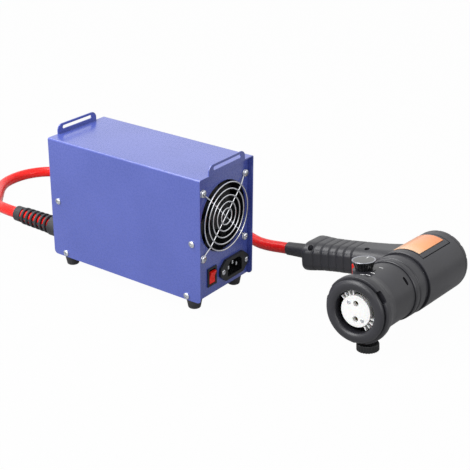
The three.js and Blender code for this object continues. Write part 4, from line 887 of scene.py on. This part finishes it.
def collar_and_rear():
    collar = turned(
        [
            (62.3, 25), (62.3, 30.6), (62.8, 31.1), (63.4, 31.4), (64.2, 31.6), (68.3, 31.6), (68.8, 31.4),
            (69.3, 30.95), (70.4, 30.9), (70.9, 31.2), (71.3, 31.7), (71.9, 31.8), (80.2, 31.8),
            (80.7, 31.4), (81, 30.8), (81.2, 30.2), (88.2, 30.2), (88.2, 25),
        ],
        FINE,
    )
    smooth(collar, 30)
    along_barrel(collar, "collar_ring", "shell_plastic", ["barrel_collar"])

    rear = turned(
        [
            (88.5, REAR_BORE), (88.5, REAR_RADIUS - 0.6), (89.1, REAR_RADIUS), (164.8, REAR_RADIUS),
            (165, REAR_RADIUS - 0.2), (165, REAR_BORE),
        ],
        FINE,
    )
    # shallow groove round the label, and a bed for the label with a little play
    for z in (97.3, 154.5):
        combine(rear, strip([(z, 32.2), (z, 34), (z + 1, 34), (z + 1, 32.2)], 24, 76))
    for side in (-1, 1):
        line = block(32.15, 34, -0.5, 0.5, 97.5, 155.3)
        combine(rear, set_down(line, turn(90 + side * 37.5, "Z")))
    front, back, sweep, play = 99.8, 150.4, 53.2, 0.3
    low, high = REAR_RADIUS - 0.3, 34
    bed = [(front - play, low), (front - play, high), (back + play, high), (back + play, low)]
    combine(rear, strip(bed, 24, sweep + 1))
    smooth(soften(rear, 0.15, angle=50, rounds=2), 30)
    along_barrel(rear, "rear_tube", "shell_plastic", ["shell_upper", "shell_lower"])

    low, high = REAR_RADIUS, REAR_RADIUS + 0.5
    label = strip([(front, low), (front, high), (back, high), (back, low)], 32, sweep)
    smooth(soften(label, 0.1, angle=50, rounds=1), 30)
    along_barrel(label, "label_film", "orange_label", ["label_plate"])

    cap = turned(
        [
            (160, 27.4), (160, 29.9), (165.3, 29.9), (165.3, 32.6), (165.5, REAR_RADIUS),
            (168, REAR_RADIUS), (169.6, 32.4),
            (171.2, 31.6), (172.6, 30.3), (173.6, 28.6), (174, 26.6), (174, 0), (171.6, 0), (171.6, 26.4),
            (168.4, 27.4),
        ],
        FINE,
    )
    slots = 14
    for k in range(slots):
        slot = block(22, 36, -1.5, 1.5, 169, 176)
        combine(cap, set_down(slot, turn((k + 0.5) * 360 / slots, "Z")))
    smooth(soften(cap, 0.25, angle=50, rounds=2), 30)
    along_barrel(cap, "rear_cup", "shell_plastic", ["rear_cap"])


# The handle's cross sections: reach from the barrel's middle, half width along the barrel and across
HANDLE = [
    (17, 28.4, 17.9), (24, 28.0, 17.5), (31, 26.6, 17.0), (38, 25.0, 16.5), (45, 23.8, 16.1),
    (52, 23.0, 15.8), (62, 22.4, 15.6), (72, 22.0, 15.4), (76, 21.9, 15.4), (100, 21.5, 15.2),
    (116, 22.0, 15.5), (125.5, 23.8, 16.2), (129, 24.6, 16.4), (133, 25.0, 16.5), (134.4, 24.7, 16.3),
    (135.2, 24.1, 15.8), (HANDLE_END, 23.2, 15.0),
]
HANDLE_LEAN = math.tan(math.radians(5.7))
GROOVES = [78 + 9 * i for i in range(6)]
# A groove's cross section: distance from its middle, and depth
GROOVE = ((-1.6, 0), (-0.7, 0.48), (0, 0.8), (0.7, 0.48), (1.6, 0))


def handle_middle(reach):
    """Where the handle's middle line is along the barrel, at a reach."""
    return HANDLE_CENTRE - reach * HANDLE_LEAN


def handle_width(reach):
    """Half widths of the handle at a reach, straight between two cross sections."""
    for (r0, *w0), (r1, *w1) in zip(HANDLE, HANDLE[1:]):
        if reach <= r1:
            share = (reach - r0) / (r1 - r0)
            return [a + (b - a) * share for a, b in zip(w0, w1)]


def grip():
    """The handle: a square with well rounded corners, drawn out and resized section by section."""
    cuts = [(r, 0) for r, *_ in HANDLE if all(abs(r - g) > 2.5 for g in GROOVES)]
    cuts += [(g + away, dip) for g in GROOVES for away, dip in GROOVE]
    cuts.sort()
    put_down()
    bpy.ops.mesh.primitive_plane_add(size=2 * MM)
    piece = bpy.context.object
    open_up(piece)
    bpy.ops.mesh.bevel(affect="VERTICES", offset=0.64 * MM, segments=12)
    bpy.ops.mesh.select_all(action="SELECT")
    reach, wide, thick = cuts[0][0], 1, 1
    bpy.ops.transform.translate(value=(-HANDLE_LEAN * reach * MM, 0, reach * MM))
    for next_reach, dip in cuts:
        next_wide, next_thick = [w - dip for w in handle_width(next_reach)]
        if next_reach > reach:
            rise = (next_reach - reach) * MM
            step = (-HANDLE_LEAN * rise, 0, rise)
            bpy.ops.mesh.extrude_region_move(TRANSFORM_OT_translate={"value": step})
        middle = (-HANDLE_LEAN * next_reach * MM, 0, next_reach * MM)
        bpy.ops.transform.resize(value=(next_wide / wide, next_thick / thick, 1), center_override=middle)
        reach, wide, thick = next_reach, next_wide, next_thick
    close_up(piece)
    # drawn out along Z, it is laid along the gun's second axis
    return set_down(piece, at(HANDLE_CENTRE, 0, 0) @ TO_Y)


def handle_and_trigger():
    handle = grip()
    for u, v in HANDLE_SCREWS:
        combine(handle, set_down(rod(2.9, 8, 40, 40), at(u, v, 0)))
    butt = at(handle_middle(HANDLE_END), 0, 0) @ TO_Y
    combine(handle, set_down(rod(7.9, 128, 140, 48), butt))
    hand_over(set_down(smooth(handle, 30), IN_GUN), "grip_handle", "shell_plastic")

    trigger = smooth(soften(from_cad("trigger"), 1.2, angle=40, rounds=4), 30)
    hand_over(trigger, "trigger_lever", "red_plastic", ["trigger"], "gun_trigger")

    sleeve = turned(
        [
            (130.8, 0), (130.8, 10.5), (132.8, 10.5), (132.8, 7.6), (135.9, 7.6), (135.9, 8.2), (136.6, 8.6),
            (148, 8.1), (160, 7.6), (169.4, 7.3), (170.1, 7.0), (170.1, 0),
        ],
        72,
    )
    smooth(set_down(soften(sleeve, 0.15, rounds=2), IN_GUN @ butt), 35)
    hand_over(sleeve, "cable_sleeve", "rubber", ["cable_boot"])


def both_sides(reach, angle):
    """Two places opposite one another about the middle."""
    return [(reach * i * math.cos(angle), reach * i * math.sin(angle)) for i in (-1, 1)]


def ceramic_face():
    disc = turned([(0, 0), (0, 15.5), (0.25, 16.0), (0.7, 16.2), (5, 16.2), (5, 0)], 128)
    holes = both_sides(SOCKET_REACH, SOCKET_TURN)
    screws = both_sides(FACE_SCREW_REACH, FACE_SCREW_TURN)
    for x, y in holes:
        combine(disc, set_down(rod(3.0, -2, 8, 48), at(x, y, 0)))
    for x, y in screws:
        combine(disc, set_down(rod(1.3, -2, 8, 24), at(x, y, 0)))
    smooth(soften(disc, 0.15, angle=50, rounds=2), 30)
    along_barrel(disc, "ceramic_face", "ceramic", ["ceramic_disc"])
    screw = pan_head_screw(1.95, 0.5, 0.95, 15.5)
    for i, (x, y) in enumerate(screws, 1):
        place = IN_GUN @ at(0, x, y) @ TO_MINUS_X @ turn(35 * i, "Z")
        hand_over(set_down(copy_of(screw), place), f"face_screw_{i}", "zinc", [f"disc_screw_{i}"])
    drop(screw)
    # these screws sit deep in the handle and are nearly black: painted shade of their holes
    shell_screw = pan_head_screw(2.6, 2.1, 1.45, 11.8)
    for i, (u, v) in enumerate(HANDLE_SCREWS, 1):
        screw = set_down(copy_of(shell_screw), IN_GUN @ at(u, v, 8))
        hand_over(screw, f"handle_screw_{i}", "black_steel", [f"shell_screw_{i}"])
    drop(shell_screw)


def fluted_knob(radius, height, flutes, depth, edge, foot=1.0):
    """A round knob with dips down its side; foot is the share of its width that it has at the bottom."""
    knob = rod(radius, 0, height, flutes * 6)
    open_up(knob)
    step = 2 * math.pi / (flutes * 6)
    for places, share in (((0,), 1), ((1, 5), 0.7)):
        choose(knob, "verts", lambda v: round(math.atan2(v.co.y, v.co.x) / step) % 6 in places)
        size = 1 - depth * share / radius
        bpy.ops.transform.resize(value=(size, size, 1), center_override=(0, 0, 0))
    choose(knob, "verts", lambda v: v.co.z < height / 2 * MM)
    bpy.ops.transform.resize(value=(foot, foot, 1), center_override=(0, 0, 0))
    put_down()
    return soften(knob, edge, angle=50, rounds=3)


def dial_and_clamp():
    knob = fluted_knob(11.7, 8.6, 16, 0.9, 0.3, foot=0.72)
    combine(knob, rod(3.7, -2, 1.8, 40))
    combine(knob, rod(3.3, -2, 7.3, 40))
    place = IN_GUN @ at(*DIAL, DIAL_SEAT)
    hand_over(set_down(smooth(knob, 35), place), "dial_body", "knob_black", ["dial_knob"], "heat_dial")
    rim = turned(
        [
            (8.5, 10.4), (8.5, 11.3), (8.7, 11.7), (9.1, 11.75), (9.4, 11.55), (9.45, 11.2), (9.25, 10.8),
            (9.1, 10.4),
        ]
    )
    hand_over(set_down(smooth(rim, 35), place), "dial_rim", "spun_aluminium", (), "heat_dial")
    plate = turned([(8.5, 0), (8.5, 10.7), (9.15, 10.7), (9.2, 8.6), (9.25, 0)])
    hand_over(set_down(smooth(plate, 35), place), "dial_plate", "knob_black", (), "heat_dial")
    mark = soften(block(5.5, 9.0, -0.5, 0.5, 9.05, 9.31), 0.08)
    hand_over(set_down(mark, place), "dial_mark", "white_print", (), "heat_dial")
    half, deep = 0.7, 0.3
    for i, (u, r, lean) in enumerate(DIAL_DASHES, 1):
        outline = [(u - half, r - deep), (u - half, r), (u + half, r), (u + half, r - deep)]
        along_barrel(strip(outline, 8, 9, lean), f"dial_dash_{i}", "white_print")

    # the clamping screw stands radially on the nose, moved a little to one side
    along = Vector((1, 0, 0))
    out = Vector((0, math.cos(CLAMP_TURN), math.sin(CLAMP_TURN)))
    side = Vector((0, -math.sin(CLAMP_TURN), math.cos(CLAMP_TURN)))
    spot = along * CLAMP_AT + out * CLAMP_OUT + side * CLAMP_ASIDE
    lay = Matrix((along, out.cross(along), out)).transposed().to_4x4()
    thumb = fluted_knob(11.2, 7.5, 24, 0.6, 1.1)
    dome = turned([(7.3, 0), (7.3, 10.1), (7.7, 9.2), (8.1, 7.4), (8.4, 4.5), (8.5, 0)], 72)
    knob = weld([thumb, dome, rod(3, -5, 0.4, 32)])
    place = IN_GUN @ at(*spot) @ lay
    hand_over(smooth(set_down(knob, place), 35), "thumb_knob", "black_plastic", ["clamp_knob"], "clamp_screw")


mouth_and_nose()
front_tube()
collar_and_rear()
handle_and_trigger()
ceramic_face()
dial_and_clamp()

# The other solids keep their own shape and get a finish
slot_of = {s["node"]: s["material_slot"] for s in frame["record"]["subparts"]}
for name, solid in frame["nodes"].items():
    if not solid.hide_render:
        solid.data.materials.clear()
        solid.data.materials.append(FINISHES[slot_of[name]])


# Floor and light


def pale_floor():
    put_down()
    # 0.2 mm under the feet, so that the two don't share one plane
    bpy.ops.mesh.primitive_plane_add(size=12, location=(0, 2, -0.2 * MM))
    floor = bpy.context.object
    bpy.ops.object.transform_apply(location=True, rotation=True, scale=True)
    floor.name = "studio_floor"
    material = bpy.data.materials.new("white_paper")
    material.use_nodes = True
    nodes = material.node_tree.nodes
    shader = nodes["Principled BSDF"]
    shader.inputs["Base Color"].default_value = (0.36, 0.36, 0.36, 1)
    shader.inputs["Roughness"].default_value = 0.9
    white = add_node(material, "ShaderNodeEmission", {"Color": (1, 1, 1, 1), "Strength": 1.0})
    path = add_node(material, "ShaderNodeLightPath")
    # the camera sees nearly white paper with a trace of the shadows, and reflections see less of the white
    mirrored, direct = [
        add_node(material, "ShaderNodeMath", {0: path.outputs[ray], 1: part}, operation="MULTIPLY")
        for ray, part in (("Is Glossy Ray", 0.22), ("Is Camera Ray", 0.98))
    ]
    share = add_node(
        material, "ShaderNodeMath", {0: mirrored.outputs[0], 1: direct.outputs[0]}, operation="MAXIMUM"
    )
    mix = add_node(
        material, "ShaderNodeMixShader",
        {0: share.outputs[0], 1: shader.outputs["BSDF"], 2: white.outputs["Emission"]},
    )
    material.node_tree.links.new(mix.outputs["Shader"], nodes["Material Output"].inputs["Surface"])
    floor.data.materials.append(material)


def soft_light():
    world = bpy.data.worlds.new("studio")
    bpy.context.scene.world = world
    world.use_nodes = True
    nodes = world.node_tree.nodes
    plain = nodes["Background"]
    plain.inputs["Color"].default_value = (1, 1, 1, 1)
    plain.inputs["Strength"].default_value = 0.34
    # the camera and reflections see plain white
    seen = add_node(world, "ShaderNodeBackground", {"Color": (1, 1, 1, 1), "Strength": 1.0})
    path = add_node(world, "ShaderNodeLightPath")
    either = add_node(
        world, "ShaderNodeMath", {0: path.outputs["Is Camera Ray"], 1: path.outputs["Is Glossy Ray"]},
        operation="MAXIMUM",
    )
    mix = add_node(
        world, "ShaderNodeMixShader", {0: either.outputs[0], 1: plain.outputs[0], 2: seen.outputs[0]}
    )
    world.node_tree.links.new(mix.outputs[0], nodes["World Output"].inputs["Surface"])
    for name, place, aim, size, power in (
        ("overhead_box", (-0.4, 0.8, 1.8), (0, 0.05, 0.05), 1.4, 31),
        ("left_box", (-1.0, 0.3, 0.75), (0, 0.05, 0.07), 0.8, 10),
        ("front_fill", (-0.4, -2.0, 1.1), (0, 0, 0.05), 1.2, 11),
    ):
        light = bpy.data.lights.new(name, "AREA")
        light.size = size
        light.energy = power
        lamp = bpy.data.objects.new(name, light)
        bpy.context.scene.collection.objects.link(lamp)
        lamp.location = place
        lamp.rotation_euler = (Vector(aim) - Vector(place)).to_track_quat("-Z", "Y").to_euler()


pale_floor()
soft_light()
bpy.context.scene.view_settings.view_transform = "Standard"

put_down()
